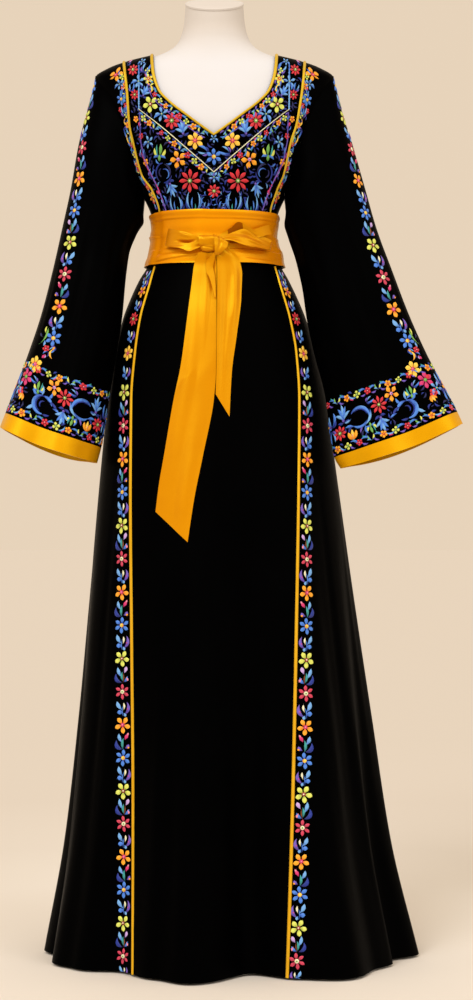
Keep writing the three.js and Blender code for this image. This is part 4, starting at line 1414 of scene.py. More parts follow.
neck_heights, neck_angles = neck_line(50)
neck_at = on_bodice(neck_heights, neck_angles)
neck_out = bodice_normal(neck_heights, neck_angles)
neck_away = unit(np.cross(unit(np.gradient(neck_at, axis=0)), neck_out))
neck_width = smooth_step(neck_heights, *NECK_BINDING["more_between"])
neck_width = NECK_BINDING["width"] + NECK_BINDING["more"] * neck_width
neck_far = neck_at + neck_away * neck_width[:, None]
binding = rounded_strip("neck_binding_fold", neck_at, neck_far, neck_out, **NECK_BINDING["section"])
dress(binding, GOLD, "neck_binding")

# ---------------------------------------------------------------- sash and bow
sash_rows = np.linspace(SASH["bottom"], SASH["top"], SASH_GRID[0])
sash_angles = np.linspace(0, 360, SASH_GRID[1], endpoint=False)
sash_rows, sash_angles = np.meshgrid(sash_rows, sash_angles, indexing="ij")
sash_normals = skirt_normal(WAIST - 2, sash_angles)
sash_lift = SASH["room"] + sash_thickness(sash_rows, sash_angles)
sash_outer = on_garment(sash_rows, sash_angles) + sash_normals * sash_lift[..., None]
sash = shell("wrapped_sash", sash_outer, sash_normals, SATIN, closed=True)
# The sash takes the lighter copy of the satin, painted light against its shade.
dress(sash, SASH_SATIN_PAINTED_LIGHTER, "sash_band")


def keyed(columns, rows):
    places = np.linspace(0, 1, len(rows))
    return curves(("place", *columns), [(place, *row) for place, row in zip(places, rows)])


def off_sash(z, x, lift):
    angle = front_angle(lambda height, turn: over_sash(height, turn, lift), z, x)
    return over_sash(z, angle, lift)


def off_skirt(z, x, lift):
    angle = front_angle(on_skirt, z, x)
    return on_skirt(z, angle) + skirt_normal(z, angle) * np.maximum(lift, SATIN + 0.4)[..., None]


def strip(name, size, place, replaced, dark):
    """Satin between two edge lines. Between the shares along it in dark, its back is drawn in dull satin
    darkened with painted shade.
    """
    lines = keyed(STRIP_COLUMNS, STRIPS[name])
    along, share = np.linspace(0, 1, size[0])[:, None], np.linspace(0, 1, size[1])[None, :]
    column = {key: lines[key](along) for key in STRIP_COLUMNS}
    x, z, lift = (
        column["upper_" + key] + (column["lower_" + key] - column["upper_" + key]) * share
        for key in ("x", "z", "lift")
    )
    for start, end, first, last, spread, depth in STRIP_FOLDS.get(name, []):
        middle = start + (end - start) * np.clip((along - first) / (last - first), 0, 1)
        fade = fold_share(along - (first + last) / 2, (last - first) / 2)
        lift = lift + depth * fade * fold_share(share - middle, spread)
    grid = place(z, x, lift)
    out = unit(np.cross(np.gradient(grid, axis=0), np.gradient(grid, axis=1)))
    piece = shell(name, grid, out, SATIN)
    dress(piece, YELLOW, replaced)
    # Painted shade: the back faces between these shares take the darkened dull satin.
    if dark:
        piece.data.materials.append(DULL_BACK_AND_SHADE)
        cells = (size[0] - 1) * (size[1] - 1)
        index = np.arange(len(piece.data.polygons)) - cells
        step = index // (size[1] - 1) / (size[0] - 1)
        dull = (index >= 0) & (index < cells) & (step > dark[0]) & (step < dark[1])
        piece.data.polygons.foreach_set("material_index", dull.astype(int))
    return piece


for name, (size, flat, area, replaced, dark) in BOW.items():
    if area:
        piece = strip(name, size, off_skirt, replaced, dark)
    else:
        piece = strip(name, size, off_sash, replaced, dark)


def knot():
    """A squarish wrap of satin with pleats drawn round it."""
    middle = over_sash(np.array(KNOT["z"]), np.array(KNOT["angle"]), KNOT["lift"])
    around = np.linspace(0, 2 * np.pi, 72, endpoint=False)[None, :]
    down = np.linspace(0, np.pi, 56)[:, None]
    ball = point(np.sin(down) * np.cos(around), np.sin(down) * np.sin(around), np.cos(down) + 0 * around)
    power = KNOT["square"]
    ball /= np.sum(np.abs(ball) ** power, axis=-1, keepdims=True) ** (1 / power)
    folded = np.zeros(ball.shape[:2])
    for height, lean, depth in KNOT_PLEATS:
        folded += depth * fold_share(ball[..., 2] - height - lean * ball[..., 0], KNOT["pleat"])
    size = np.array(KNOT["size"]) / 2
    rings = ball * (size - folded[..., None] * np.array(KNOT["inwards"])) + middle
    faces = grid_faces(point_numbers(*rings.shape[:2], closed=True)).tolist()
    piece = closed_object("bow_knot", rings.reshape(-1, 3), faces, grid_uv(rings), smooth=80)
    dress(piece, YELLOW, "sash_knot")


knot()

# ---------------------------------------------------------------- embroidery
class Band:
    """Places on a surface, in mm across and along it from a line."""

    def __init__(self, surface, normal, keys, along, starts, step, reach):
        self.surface, self.normal, self.keys, self.along = surface, normal, keys, along
        steps = np.arange(*reach, abs(step)) * np.sign(step)
        seconds = np.broadcast_to(starts, keys.shape)[:, None] + steps[None, :]
        self.at = surface(keys[:, None], seconds)
        run = run_along(self.at, 1)
        middle = int(np.argmin(np.abs(steps)))
        self.run = run - run[:, middle : middle + 1]
        self.low, self.high = self.run[:, 0].max(), self.run[:, -1].min()
        self.count = 2 * self.run.shape[1]
        places = np.linspace(self.low, self.high, self.count)
        self.seconds = np.stack([np.interp(places, self.run[i], seconds[i]) for i in range(len(keys))])
        line_along = unit(np.gradient(self.at[:, middle], axis=0) * np.sign(along[-1] - along[0]))
        line_across = unit(self.at[:, middle + 1] - self.at[:, middle - 1])
        self.slant = np.sum(line_along * line_across, axis=-1)

    def __call__(self, across, along):
        slant = np.interp(along, self.along, self.slant)
        across = across / np.sqrt(1 - slant**2)
        along = along - across * slant
        key = np.interp(along, self.along, self.keys)
        row = np.interp(along, self.along, np.arange(len(self.keys)))
        column = np.clip((across - self.low) / (self.high - self.low), 0, 1) * (self.count - 1)
        i = np.minimum(row.astype(int), len(self.keys) - 2)
        j = np.minimum(column.astype(int), self.count - 2)
        down, over = row - i, column - j
        near = self.seconds[i, j] * (1 - over) + self.seconds[i, j + 1] * over
        far = self.seconds[i + 1, j] * (1 - over) + self.seconds[i + 1, j + 1] * over
        second = near * (1 - down) + far * down
        return self.surface(key, second), self.normal(key, second)

    def across_at(self, x, along):
        """How far across the surface a place lies that shows at x in front view."""
        rows = np.round(np.interp(along, self.along, np.arange(len(self.keys)))).astype(int)
        pairs = np.broadcast(np.atleast_1d(rows), np.atleast_1d(x))
        return np.array([np.interp(value, self.at[row, :, 0], self.run[row]) for row, value in pairs])


STITCH_SECTION = np.array([(-1, -0.25), (-0.62, 0.78), (0, 1), (0.62, 0.78), (1, -0.25)])


class Needlework:
    """Raised stitches on one piece of cloth, drawn as strokes in mm across and along it."""

    def __init__(self, name, place):
        self.name, self.place = name, place
        self.points, self.faces, self.cut, self.shares, self.threads = [], [], [], [], []
        self.total = 0
        self.centres = []

    def stroke(self, path, half, thread, height):
        path, half = np.asarray(path, float), np.maximum(half, 0.05)
        along = unit(np.gradient(path, axis=0))
        sideways = np.stack([-along[:, 1], along[:, 0]], axis=-1)
        spread = half[:, None] * STITCH_SECTION[None, :, 0]
        spots = path[:, None] + sideways[:, None] * spread[..., None]
        rise = height * np.sqrt(half / half.max())[:, None] * STITCH_SECTION[None, :, 1]
        length = run_along(path)
        rows, columns = spread.shape
        share = np.broadcast_to((length / length[-1])[:, None], spread.shape)
        self.points.append(np.concatenate([spots, rise[..., None]], axis=-1).reshape(-1, 3))
        self.faces.append(grid_faces(point_numbers(rows, columns, self.total)))
        self.cut.append(np.stack([spread, length[:, None] + 0 * spread], axis=-1).reshape(-1, 2) / 1000)
        self.shares.append(np.stack([share, spread * 0 + 0.5], axis=-1).reshape(-1, 2))
        self.threads += [thread] * len(self.faces[-1])
        self.total += rows * columns

    def sew(self, motif, across, along, turn=0.0, size=1.0, mirror=False):
        cosine, sine = math.cos(math.radians(turn)), math.sin(math.radians(turn))
        reach = 0.0
        for path, half, thread, height in MOTIFS[motif]:
            x, y = path[:, 0], path[:, 1]
            moved = np.stack([x * cosine - y * sine, x * sine + y * cosine], axis=-1) * size
            if mirror:
                moved[:, 0] *= -1
            reach = max(reach, np.abs(moved).max())
            self.stroke(moved + (across, along), half * size, thread, height * min(1, size + 0.2))
        self.centres.append((across, along, reach))

    def finish(self):
        flat = np.concatenate(self.points)
        at, out = self.place(flat[:, 0], flat[:, 1])
        faces = np.concatenate(self.faces)
        points = at + out * flat[:, 2:]
        a, b, c = (points[faces[:, k]] for k in range(3))
        if np.sum(np.cross(b - a, c - a) * out[faces[:, 0]]) < 0:
            faces = faces[:, ::-1]
        piece = new_object(self.name, points, faces.tolist(), np.concatenate(self.cut), smooth=180)
        corners = faces.ravel()
        layer = piece.data.uv_layers.new(name="share")
        layer.data.foreach_set("uv", np.concatenate(self.shares)[corners].ravel())
        used = sorted(set(self.threads))
        for name in used:
            piece.data.materials.append(THREAD_FINISHES[name])
        piece.data.polygons.foreach_set("material_index", [used.index(name) for name in self.threads])
        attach(piece, "root")


leaf_shares = np.linspace(0, 1, 7)


def bent(start, end, bend):
    """A path between two spots, bowed sideways by a share of its length."""
    start, end = np.array(start, float), np.array(end, float)
    t = leaf_shares[:, None]
    sideways = np.array([start[1] - end[1], end[0] - start[0]])
    return start + (end - start) * t + sideways * bend * 4 * t * (1 - t)


def leaf(thread, start, end, width, bend=0.0, fullest=0.48, blunt=1.0, height=0.8):
    bulge = np.sin(np.pi * leaf_shares ** (math.log(0.5) / math.log(fullest)))
    return bent(start, end, bend), width / 2 * np.abs(bulge) ** blunt, thread, height


def spot(thread, centre, radius, height=1.1):
    x, y = centre
    return leaf(thread, (x - radius, y), (x + radius, y), 2 * radius, blunt=0.55, height=height)


def arc(thread, centre, radius, start, end, width, height=0.9, inward=0.0):
    """A thick curl between two angles, tapered at its ends."""
    t = np.linspace(0, 1, 19)
    angles = np.radians(start + (end - start) * t)
    reach = radius * (1 - inward * t)
    path = np.stack([centre[0] + reach * np.cos(angles), centre[1] + reach * np.sin(angles)], axis=-1)
    return path, width / 2 * np.sin(np.pi * np.clip(t, 0.02, 0.98)) ** 0.45, thread, height


def flower(petals, reach, width, thread, heart, dot, blunt=0.62, core=0.27):
    strokes = []
    for i in range(petals):
        angle = math.radians(360 * i / petals - 90)
        way = np.array([math.cos(angle), math.sin(angle)])
        strokes.append(leaf(thread, way * reach * 0.14, way * reach, width, 0.04, 0.6, blunt))
    return strokes + [spot(heart, (0, 0), reach * core, 1.2), spot(dot, (0, 0), reach * core * 0.5, 1.6)]


MOTIFS = {
    "lime_flower": flower(5, 12.2, 7.2, "lime", "crimson", "pale"),
    "red_flower": flower(8, 11.6, 4.9, "red", "green", "pale", 0.75),
    "rose_flower": flower(6, 11.8, 5.4, "rose", "pale", "green", 0.72, 0.3),
    "large_red_flower": flower(8, 16.5, 6.0, "red", "green", "pale", 0.85, 0.2),
    "orange_flower": flower(5, 12.2, 7.0, "orange", "magenta", "pink"),
    "golden_daisy": flower(6, 11.8, 6.6, "golden", "magenta", "orange"),
    "golden_flower": flower(6, 12.0, 7.4, "golden", "magenta", "pink"),
    "blue_flower": flower(6, 12, 5.9, "blue", "golden", "lime", 0.7),
    "pink_flower": flower(6, 13.0, 7.2, "magenta", "green", "pink", 0.75)[:6]
    + [spot("red", (-5, 4), 4), spot("green", (0, 0), 3, 1.3)],
    "orange_star": flower(5, 12.5, 7.6, "orange", "lilac", "magenta", 1.0, 0.22),
    "blue_star": flower(5, 10.5, 4.6, "light_blue", "teal", "golden", 0.85, 0.2)
    + [leaf("blue", (2, -2), (10, -9), 4, 0.2), leaf("deep_blue", (-2, -2), (-10, -8), 4, -0.2)],
    "tiny_red": flower(5, 4.6, 3.6, "red", "magenta", "pale"),
    "tiny_orange": flower(5, 4.8, 3.8, "orange", "red", "golden"),
    "tiny_lime": flower(4, 4.8, 3.8, "lime", "green", "pale"),
    "sprig_bud": [
        leaf("brown", (1, -11), (2, 3), 1.6, -0.08),
        leaf("light_blue", (0, -4), (-6.5, 12), 5.9, 0.1, 0.62),
        leaf("teal", (1, -9), (0.5, 5), 4.1, 0.12),
        leaf("deep_blue", (-1, -11), (-9.5, 3), 6.3, 0.3),
        leaf("blue", (2, -10), (9, -2), 4.9, -0.15),
        leaf("lilac", (3.5, 3), (8, 12.5), 6.1, -0.05, 0.62, 0.7),
        leaf("pink", (6.5, -3), (9.5, -9), 4.4, 0.0, 0.6, 0.7),
    ],
    "sprig_leaves": [
        leaf("blue", (0, -12), (1, 4), 1.7, 0.08),
        leaf("light_blue", (0, -3), (-8, 11), 6.6, 0.12, 0.62),
        leaf("pale", (1.5, -3), (2.5, 8), 3.7, -0.1, 0.6),
        leaf("violet", (3, -9), (8, 9), 5.9, -0.25),
        leaf("blue", (0, -7), (-9, -6), 7.3, -0.1, 0.6, 0.7),
        leaf("light_blue", (1, -7), (4, -13), 5.1, 0.1, 0.6),
        leaf("magenta", (7, -4), (10, 0), 3.2, 0.0, 0.6, 0.7),
    ],
    "sprig_berry": [
        leaf("teal", (0, -11), (1, 5), 4.4, 0.1),
        leaf("light_blue", (0, -2), (-6, 11), 5.6, 0.15, 0.62),
        leaf("deep_blue", (-1, -11), (-9.5, 2), 6.8, 0.3),
        leaf("magenta", (3, 2), (8.5, 9), 5.6, 0.1, 0.62, 0.7),
        leaf("violet", (3, -9), (9, -4), 5.6, -0.2, 0.6, 0.75),
        leaf("pink", (6, 7), (9, 12), 3.2, 0.0, 0.6, 0.8),
        spot("orange", (8.5, -8.5), 1.8),
    ],
    "pink_bud": [
        leaf("magenta", (0, 0), (1, 13), 8.5, 0.05, 0.6, 0.75),
        leaf("lilac", (-1, 1), (-5, 9), 3.6, 0.15),
        leaf("blue", (0, -9), (6, 4), 4.4, -0.25),
        leaf("deep_blue", (0, -9), (-7, 2), 4.6, 0.25),
    ],
    "leaf_pair": [
        leaf("blue", (0, -10), (-5, 11), 5.2, 0.18, 0.6),
        leaf("light_blue", (0, -9), (5, 8), 4.0, -0.15, 0.6),
        leaf("violet", (0, -11), (8, -2), 4.4, -0.2),
        leaf("deep_blue", (0, -11), (-8, -1), 4.8, 0.2),
    ],
    "lime_leaves": [
        leaf("lime", (0, -14), (-3, 12), 5.6, 0.15),
        leaf("golden", (2, -8), (5, 14), 4.2, -0.2),
        leaf("blue", (0, -12), (7, 0), 4.0, -0.2),
    ],
    "golden_leaf": [
        leaf("golden", (0, -8), (1, 9), 4.2, 0.3),
        leaf("orange", (0, 6), (4, 12), 4.2, 0.1, 0.6, 0.8),
    ],
    "lily": [
        leaf("lime", (0, -4), (-9, 7), 4.8, 0.15, 0.6),
        leaf("green", (0, -4), (-1, 14), 5.6, 0.05, 0.6),
        leaf("lime", (1, -4), (9, 8), 4.8, -0.15, 0.6),
        leaf("teal", (1, -6), (5, 13), 3.2, -0.1, 0.6),
        leaf("blue", (0, -3), (-10, -5), 4.4, -0.2),
        leaf("blue", (0, -3), (10, -5), 4.4, 0.2),
        leaf("green", (0, -9), (0, 0), 5.0, 0.0, 0.5, 0.7),
    ],
    "blue_fan": [
        leaf("light_blue", (0, -8), (-12, 4), 4.8, -0.15, 0.6),
        leaf("blue", (0, -8), (-6, 12), 5.0, -0.08, 0.6),
        leaf("light_blue", (0, -8), (1, 16), 5.0, 0.04, 0.62),
        leaf("blue", (0, -8), (7, 11), 5.0, 0.08, 0.6),
        leaf("light_blue", (0, -8), (12, 2), 4.8, 0.15, 0.6),
        leaf("deep_blue", (0, -10), (-9, -7), 4.4, 0.1),
        leaf("deep_blue", (0, -10), (9, -9), 4.4, -0.1),
        spot("violet", (0, -7), 2.2, 1.3),
    ],
    "tulip": [
        leaf("orange", (0, -7), (-7, 7), 7.0, 0.1, 0.55, 0.8),
        leaf("orange", (0, -7), (7, 7), 7.0, -0.1, 0.55, 0.8),
        leaf("golden", (0, -7), (0, 10), 6.0, 0.0, 0.55, 0.8, 1.1),
        leaf("pink", (0, -3), (0, 4), 2.0, 0.0, 0.5, 1.0, 1.4),
    ],
    "grass": [
        leaf("light_blue", (-3, -14), (-4, 13), 2.8, 0.16, 0.55),
        leaf("blue", (-4, -14), (-9, 7), 2.6, 0.14, 0.6),
        leaf("light_blue", (3, -14), (8, 14), 3.2, -0.18, 0.55),
        leaf("blue", (1, -14), (3, 6), 2.6, -0.1, 0.6),
        leaf("deep_blue", (5, -14), (12, 3), 2.8, -0.16, 0.6),
        leaf("deep_blue", (-5, -14), (-13, -3), 2.6, 0.16, 0.6),
        leaf("teal", (0, -14), (-1, -3), 2.0, 0.1),
    ],
    "dark_scroll": [
        arc("deep_blue", (0, 0), 15, -60, 80, 3.2, 1.0),
        arc("navy", (1, 0), 13.4, 95, 200, 3.6, 1.0),
        arc("deep_blue", (0, 1), 16, 190, 262, 3.0, 1.0),
        arc("blue", (-3, -2), 8.5, 60, 240, 2.4, 0.8, 0.2),
        arc("navy", (2, 1), 7.5, -80, 60, 2.8, 0.8, 0.2),
        leaf("blue", (-3, 15), (-14, 18), 3.4, 0.2, 0.6),
        leaf("blue", (8, 13), (17, 19), 3.2, -0.2, 0.6),
        leaf("blue", (13, -8), (21, -15), 3.2, 0.2, 0.6),
        leaf("deep_blue", (15, 2), (23, 6), 3.0, -0.2, 0.6),
        leaf("deep_blue", (-13, -7), (-21, -10), 3.2, 0.2, 0.6),
        leaf("blue", (-4, -14), (-9, -23), 3.2, -0.2, 0.6),
        leaf("light_blue", (5, -14), (11, -22), 2.6, 0.2, 0.6),
    ],
    "scroll": [
        arc("blue", (0, 0), 13.5, 75, 262, 6.2),
        arc("deep_blue", (1, 0), 10.5, 100, 235, 2.4, 1.1),
        arc("deep_blue", (2, -1), 6.5, 60, 200, 2.6, 0.9, 0.2),
        arc("light_blue", (0, 0), 15.2, 120, 200, 1.8, 1.3),
        leaf("blue", (3, 13), (16, -3), 5.6, 0.22, 0.5),
        leaf("deep_blue", (10, 6), (24, -11), 4.6, 0.12, 0.5),
        leaf("blue", (17, -6), (27, -14), 3.8, 0.1, 0.5),
        leaf("light_blue", (-11, 4), (-26, -5), 5.4, 0.12, 0.6),
        leaf("blue", (-3, 13), (-10, 25), 4.6, 0.18, 0.55),
        leaf("light_blue", (1, 13), (6, 28), 4.0, -0.15, 0.55),
        leaf("blue", (10, 9), (20, 17), 4.6, -0.18, 0.55),
        leaf("deep_blue", (-2, -13), (10, -16), 4.0, -0.1, 0.5),
    ],
    "arch_scroll": [
        arc("blue", (0, 0), 16, 20, 165, 5.4),
        arc("deep_blue", (0, 1), 12.5, 35, 150, 2.4, 1.1),
        arc("light_blue", (0, 0), 17.6, 60, 120, 1.6, 1.3),
        arc("blue", (1, 1), 14.5, 195, 292, 4.4),
        leaf("light_blue", (-15, 14), (-12, -9), 4.6, -0.14, 0.5),
        leaf("blue", (-12, -9), (-18, -22), 4.0, 0.15, 0.55),
        leaf("blue", (6, -13), (22, -16), 4.6, 0.1, 0.55),
        leaf("light_blue", (14, -2), (26, -8), 4.6, -0.1, 0.6),
        leaf("deep_blue", (8, -12), (14, -24), 4.2, 0.2, 0.55),
        leaf("violet", (-8, -10), (-6, -22), 3.4, 0.1, 0.55),
    ],
    "trailing_leaf": [
        leaf("green", (-6, -19), (4, 12), 4.2, -0.12, 0.7),
        leaf("lime", (3, 2), (1, 15), 3.4, 0.15, 0.6),
        leaf("light_blue", (3, -9), (4, -19), 4.2, 0.1, 0.55),
        leaf("navy", (-2, -4), (-8, 4), 3.4, 0.15, 0.6),
    ],
    "filler": [
        leaf("navy", (-5, 0), (5, 1), 3.2, 0.2),
        leaf("deep_blue", (-1, -4), (4, -1), 2.2, -0.2),
    ],
    "bright_filler": [
        leaf("deep_blue", (-5, -1), (5, 1), 3.2, -0.25),
        leaf("navy", (0, 1), (4, 5), 2.2, 0.1),
    ],
    "row_leaves": [
        leaf("blue", (-6, 0), (5, 2), 3.0, 0.25),
        leaf("violet", (-3, -4), (4, -2), 2.6, -0.2),
        leaf("teal", (-1, 2), (3, 6), 2.0, 0.1),
    ],
    "row_sprig": [
        leaf("light_blue", (-6, -2), (4, 2), 2.6, -0.25),
        leaf("deep_blue", (-1, 3), (5, 5), 2.8, 0.1),
        leaf("magenta", (-2, -5), (3, -3), 2.6, 0.1),
    ],
    "row_lily": [
        leaf("lime", (0, -3), (-4, 5), 2.6, 0.15, 0.6),
        leaf("green", (0, -3), (4, 5), 2.6, -0.15, 0.6),
        leaf("light_blue", (0, -3), (6, -1), 2.4, 0.2, 0.6),
        leaf("deep_blue", (0, -3), (-6, -2), 2.6, -0.2, 0.6),
    ],
}
SPRIGS = ("sprig_bud", "sprig_leaves", "sprig_berry", "sprig_leaves")
EDGE_ROW = (
    "tiny_red",
    "row_leaves",
    "tiny_lime",
    "row_sprig",
    "tiny_orange",
    "row_leaves",
    "row_lily",
    "row_leaves",
)
rng = np.random.default_rng(7)


def either_way(most):
    """A random angle up to the most, to either side."""
    return rng.uniform(-most, most)


def flower_band(work, across, places, first=0):
    """Flowers in turn down a band, with sprigs between them. Places run downwards."""
    for i, along in enumerate(places):
        flower = BAND_FLOWERS[(i + first) % 4]
        work.sew(flower, across(along), along, either_way(9), rng.uniform(1.02, 1.10))
        if i + 1 < len(places):
            between = (along + places[i + 1]) / 2
            turn, size = either_way(6), rng.uniform(1, 1.1)
            work.sew(SPRIGS[i % 4], across(between), between, turn, size, mirror=True)


def edge_row(work, path, pitch, size, first):
    """Tiny flowers and leaves in turn along a path."""
    path = np.asarray(path, float)
    run = run_along(path)
    for i, place in enumerate(np.arange(pitch / 2, run[-1], pitch)):
        across, along = (np.interp(place, run, path[:, k]) for k in range(2))
        ahead = [np.interp(place + 1, run, path[:, k]) for k in range(2)]
        turn = math.degrees(math.atan2(ahead[1] - along, ahead[0] - across))
        motif = EDGE_ROW[(i + first) % len(EDGE_ROW)]
        work.sew(motif, across, along, turn + either_way(25), size * rng.uniform(0.9, 1.15))


# How far the small leaves stray, how many are bright, and how near to a motif they come.
FILL = {"stray": 2.5, "bright": 0.35, "share": 0.75, "room": 3}


def fill_between(work, low, high, spacing, inside):
    """Small dark leaves wherever no motif is."""
    for across in np.arange(low[0], high[0], spacing):
        for along in np.arange(low[1], high[1], spacing):
            x, y = across + either_way(FILL["stray"]), along + either_way(FILL["stray"])
            turn, bright = rng.uniform(0, 360), rng.uniform() < FILL["bright"]
            near = any(
                math.hypot(x - cx, y - cy) < FILL["share"] * reach + FILL["room"]
                for cx, cy, reach in work.centres
            )
            if inside(x, y) and not near:
                work.sew("bright_filler" if bright else "filler", x, y, turn)


SEAM_BAND = {"step": 0.25, "reach": (-4, 30)}
bodice_band_heights = np.linspace(1160, 1408, 160)


def seam_band(label, surface, normal, heights):
    """The band beside a princess seam, on its outer side."""
    starts, step = seam_angle(surface, label, heights), SIDES[label] * SEAM_BAND["step"]
    return Band(surface, normal, heights, heights, starts, step, SEAM_BAND["reach"])


def embroider_skirt(label):
    band = seam_band(label, on_skirt, skirt_normal, np.linspace(HEM, SASH["bottom"], 280))
    work = Needlework(f"embroidery_skirt_{label}", band)
    turn = np.arange(SKIRT_BAND["count"])
    places = SKIRT_BAND["top"] - SKIRT_BAND["pitch"] * turn + SKIRT_BAND["closing"] * turn * (turn - 1)
    line = np.array(SKIRT_BAND_LINE[label]).T
    flower_band(work, lambda along: np.interp(along, *line), places)
    work.sew("sprig_leaves", line[1][0], places[-1] - SKIRT_BAND["last"], 0, 0.8, mirror=True)
    above = places[0]
    for motif, height, size in SKIRT_BAND_TOP:
        across = SKIRT_BAND_EDGE + SKIRT_BAND_HALF * size
        work.sew(motif, across, height, either_way(9), size)
        work.sew("sprig_leaves", across, (above + height) / 2, either_way(6), 0.9 * size, mirror=True)
        above = height
    work.finish()


def embroider_sleeve(label):
    surface, normal = partial(on_sleeve, label), partial(sleeve_normal, label)
    shares = np.linspace(*SLEEVE_BAND_ROWS)
    angles = SLEEVE_BAND_ANGLE[label](shares)
    line = surface(shares, angles)
    run = run_along(line)
    band = Band(surface, normal, shares[::-1], -run[::-1], angles[::-1], 1.0, SLEEVE_BAND_REACH)
    work = Needlework(f"embroidery_sleeve_{label}", band)
    start, end = (-float(np.interp(share, shares, run)) for share in SLEEVE_BAND[label])
    flower_band(work, lambda along: 0.0, np.linspace(start, end, SLEEVE_BAND["count"]), 3)
    for motif, across, down, turn, size in SLEEVE_BAND_END:
        work.sew(motif, across, end - down, turn, size)
    work.finish()


def embroider_lower_sleeve(label):
    angles = np.linspace(*LOWER_ANGLES)
    rim = on_sleeve(label, np.full(angles.shape, LOWER_MEASURED_AT), angles)
    run = run_along(rim)
    run -= np.interp(0, angles, run)
    rows = Band(
        lambda angle, along: on_sleeve(label, along, angle),
        lambda angle, along: sleeve_normal(label, along, angle),
        angles,
        run,
        CUFF_SHARE - 0.001,
        *LOWER_STEPS,
    )
    work = Needlework(f"embroidery_lower_sleeve_{label}", lambda across, along: rows(along, across))
    for motif, angle, up, turn, size in LOWER_BAND:
        for half in (1, -1) if 0 < angle < 180 else (1,):
            work.sew(motif, float(np.interp(half * angle, angles, run)), up, turn, size, mirror=half < 0)
    near, far = run[1] + LOWER_END_GAP, run[-2] - LOWER_END_GAP
    for up, first in ((LOWER_FIRST_ROW, 0), (LOWER_BAND_HEIGHT, 3)):
        edge_row(work, [(near, up), (far, up)], **LOWER_ROW, first=first)
    low, high = LOWER_FILL["low"], LOWER_BAND_HEIGHT - LOWER_FILL["under"]
    fill_between(work, (near, low), (far, high), LOWER_FILL["spacing"], lambda x, y: True)
    work.finish()


def embroider_bib():
    rows = bodice_band_heights
    bib = Band(on_bodice, bodice_normal, rows, rows, 0.0, *BIB_STEPS)
    work = Needlework("embroidery_bodice_front", bib)

    def seen_line(x, height):
        """The path of a line that is given in front view."""
        return np.stack([bib.across_at(x, height), height], axis=-1)

    count = 60
    vee_z, vee_x = np.linspace(BIB_VEE["top"], BIB_VEE["tip"], count), np.linspace(BIB_VEE["x"], 0, count)
    neck_z = np.linspace(NECK_SIDE - 25, NECK_TIP + 2, count)
    neck_x = NECK_HALF(neck_z) + BIB_NECK["out"]
    out, down = BIB_NECK["line"]
    for motif, x, height, turn, size in BIB:
        for side in (-1, 1) if x else (1,):
            across = bib.across_at(side * x, height)[0]
            work.sew(motif, across, height, -side * turn, size, mirror=side < 0)
    for side in SIDES.values():
        vee = seen_line(side * vee_x, vee_z)
        work.stroke(vee, np.full(count, BIB_VEE["half"]), "pale", CORD_HEIGHT)
        edge_row(work, vee - BIB_VEE["row"], **BIB_ROW, first=1)
        below = seen_line(side * neck_x, neck_z) + np.array([side, 1]) * BIB_NECK["row"]
        edge_row(work, below, **BIB_ROW, first=2)
        line = seen_line(side * (neck_x + out), neck_z - down)
        work.stroke(line, np.full(count, BIB_NECK["half"]), "violet", 0.8)
        for thread_name, half, spots in BIB_CORDS:
            spots = np.array(spots, float)
            along = np.linspace(0, 1, 80)
            x, height = (np.interp(along, np.linspace(0, 1, len(spots)), spots[:, k]) for k in range(2))
            swell = half * (1 + 0.2 * np.sin(along * 90))
            work.stroke(seen_line(side * x, height), swell, thread_name, CORD_HEIGHT)

    def inside(across, along):
        x = abs(bib(np.array([across]), np.array([along]))[0][0][0])
        edge = float(SEAM["left" if across < 0 else "right"](along)) - BIB_FILL["seam"]
        return x < edge and (along < NECK_TIP or x > float(NECK_HALF(along)) + BIB_FILL["neck"])

    fill_between(work, BIB_FILL["low"], BIB_FILL["high"], BIB_FILL["spacing"], inside)
    work.finish()


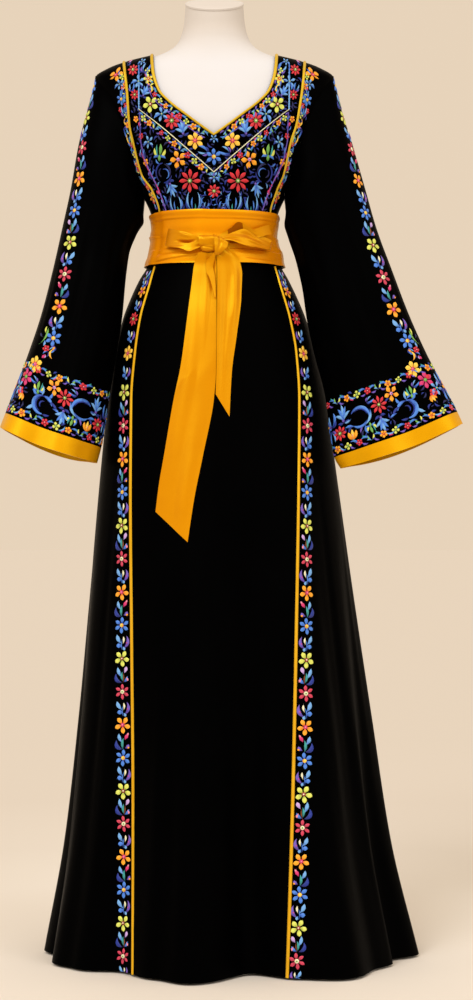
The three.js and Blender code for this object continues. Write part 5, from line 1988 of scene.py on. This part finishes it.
def embroider_bodice_side(label):
    band = seam_band(label, on_bodice, bodice_normal, bodice_band_heights)
    work = Needlework(f"embroidery_bodice_side_{label}", band)
    for motif, across, height, turn, size in SIDE_BORDER:
        work.sew(motif, across, height, turn, size)
    low, high = SIDE_ROW["low"], SIDE_ROW["high"]
    edge_row(work, [(SIDE_ROW["across"], high), (SIDE_ROW["across"], low)], SIDE_ROW["pitch"], 1.0, 1)
    corners = (SIDE_FILL["near"], low), (SIDE_FILL["far"], high)
    widening = SIDE_FILL["widening"]
    fill_between(work, *corners, SIDE_FILL["spacing"], lambda x, y: x < 8 + (y - low) / widening)
    work.finish()


for label in SIDES:
    embroider_skirt(label)
    embroider_sleeve(label)
    embroider_lower_sleeve(label)
embroider_bib()
for label in SIDES:
    embroider_bodice_side(label)

# ---------------------------------------------------------------- floor and lights
world = bpy.data.worlds.new("studio")
bpy.context.scene.world = world
world.use_nodes = True
sky = world.node_tree.nodes["Background"]
sky.inputs["Color"].default_value = (0.80, 0.652, 0.493, 1)
sky.inputs["Strength"].default_value = 1.0


def sun(name, turn, tilt, strength, softness):
    data = bpy.data.lights.new(name, "SUN")
    data.energy = strength
    data.angle = math.radians(softness)
    data.color = (1, 0.985, 0.97)
    lamp = bpy.data.objects.new(name, data)
    lamp.rotation_euler = (math.radians(tilt), 0, math.radians(turn))
    bpy.context.collection.objects.link(lamp)


sun("key", turn=-28, tilt=52, strength=1.5, softness=30)
sun("fill", turn=38, tilt=60, strength=0.7, softness=40)


def floor():
    mesh = bpy.data.meshes.new("floor")
    corners = [(-1, -1), (1, -1), (1, 1), (-1, 1)]
    mesh.from_pydata([(x * FLOOR_HALF, y * FLOOR_HALF, 0) for x, y in corners], [], [(0, 1, 2, 3)])
    plane = bpy.data.objects.new("floor", mesh)
    bpy.context.collection.objects.link(plane)
    material, tree, shader = new_material("floor", Roughness=1.0, Specular_IOR_Level=0.0)
    distance = node(tree, "ShaderNodeVectorMath", operation="LENGTH")
    tree.links.new(own_place(tree), distance.inputs[0])
    share = ranged(tree, distance.outputs["Value"], 0.0, FLOOR_REACH)
    stops = [(away / FLOOR_REACH, colour) for away, colour in FLOOR_COLOURS]
    mixed_colours(tree, share, stops, shader.inputs["Base Color"])
    mesh.materials.append(material)


floor()
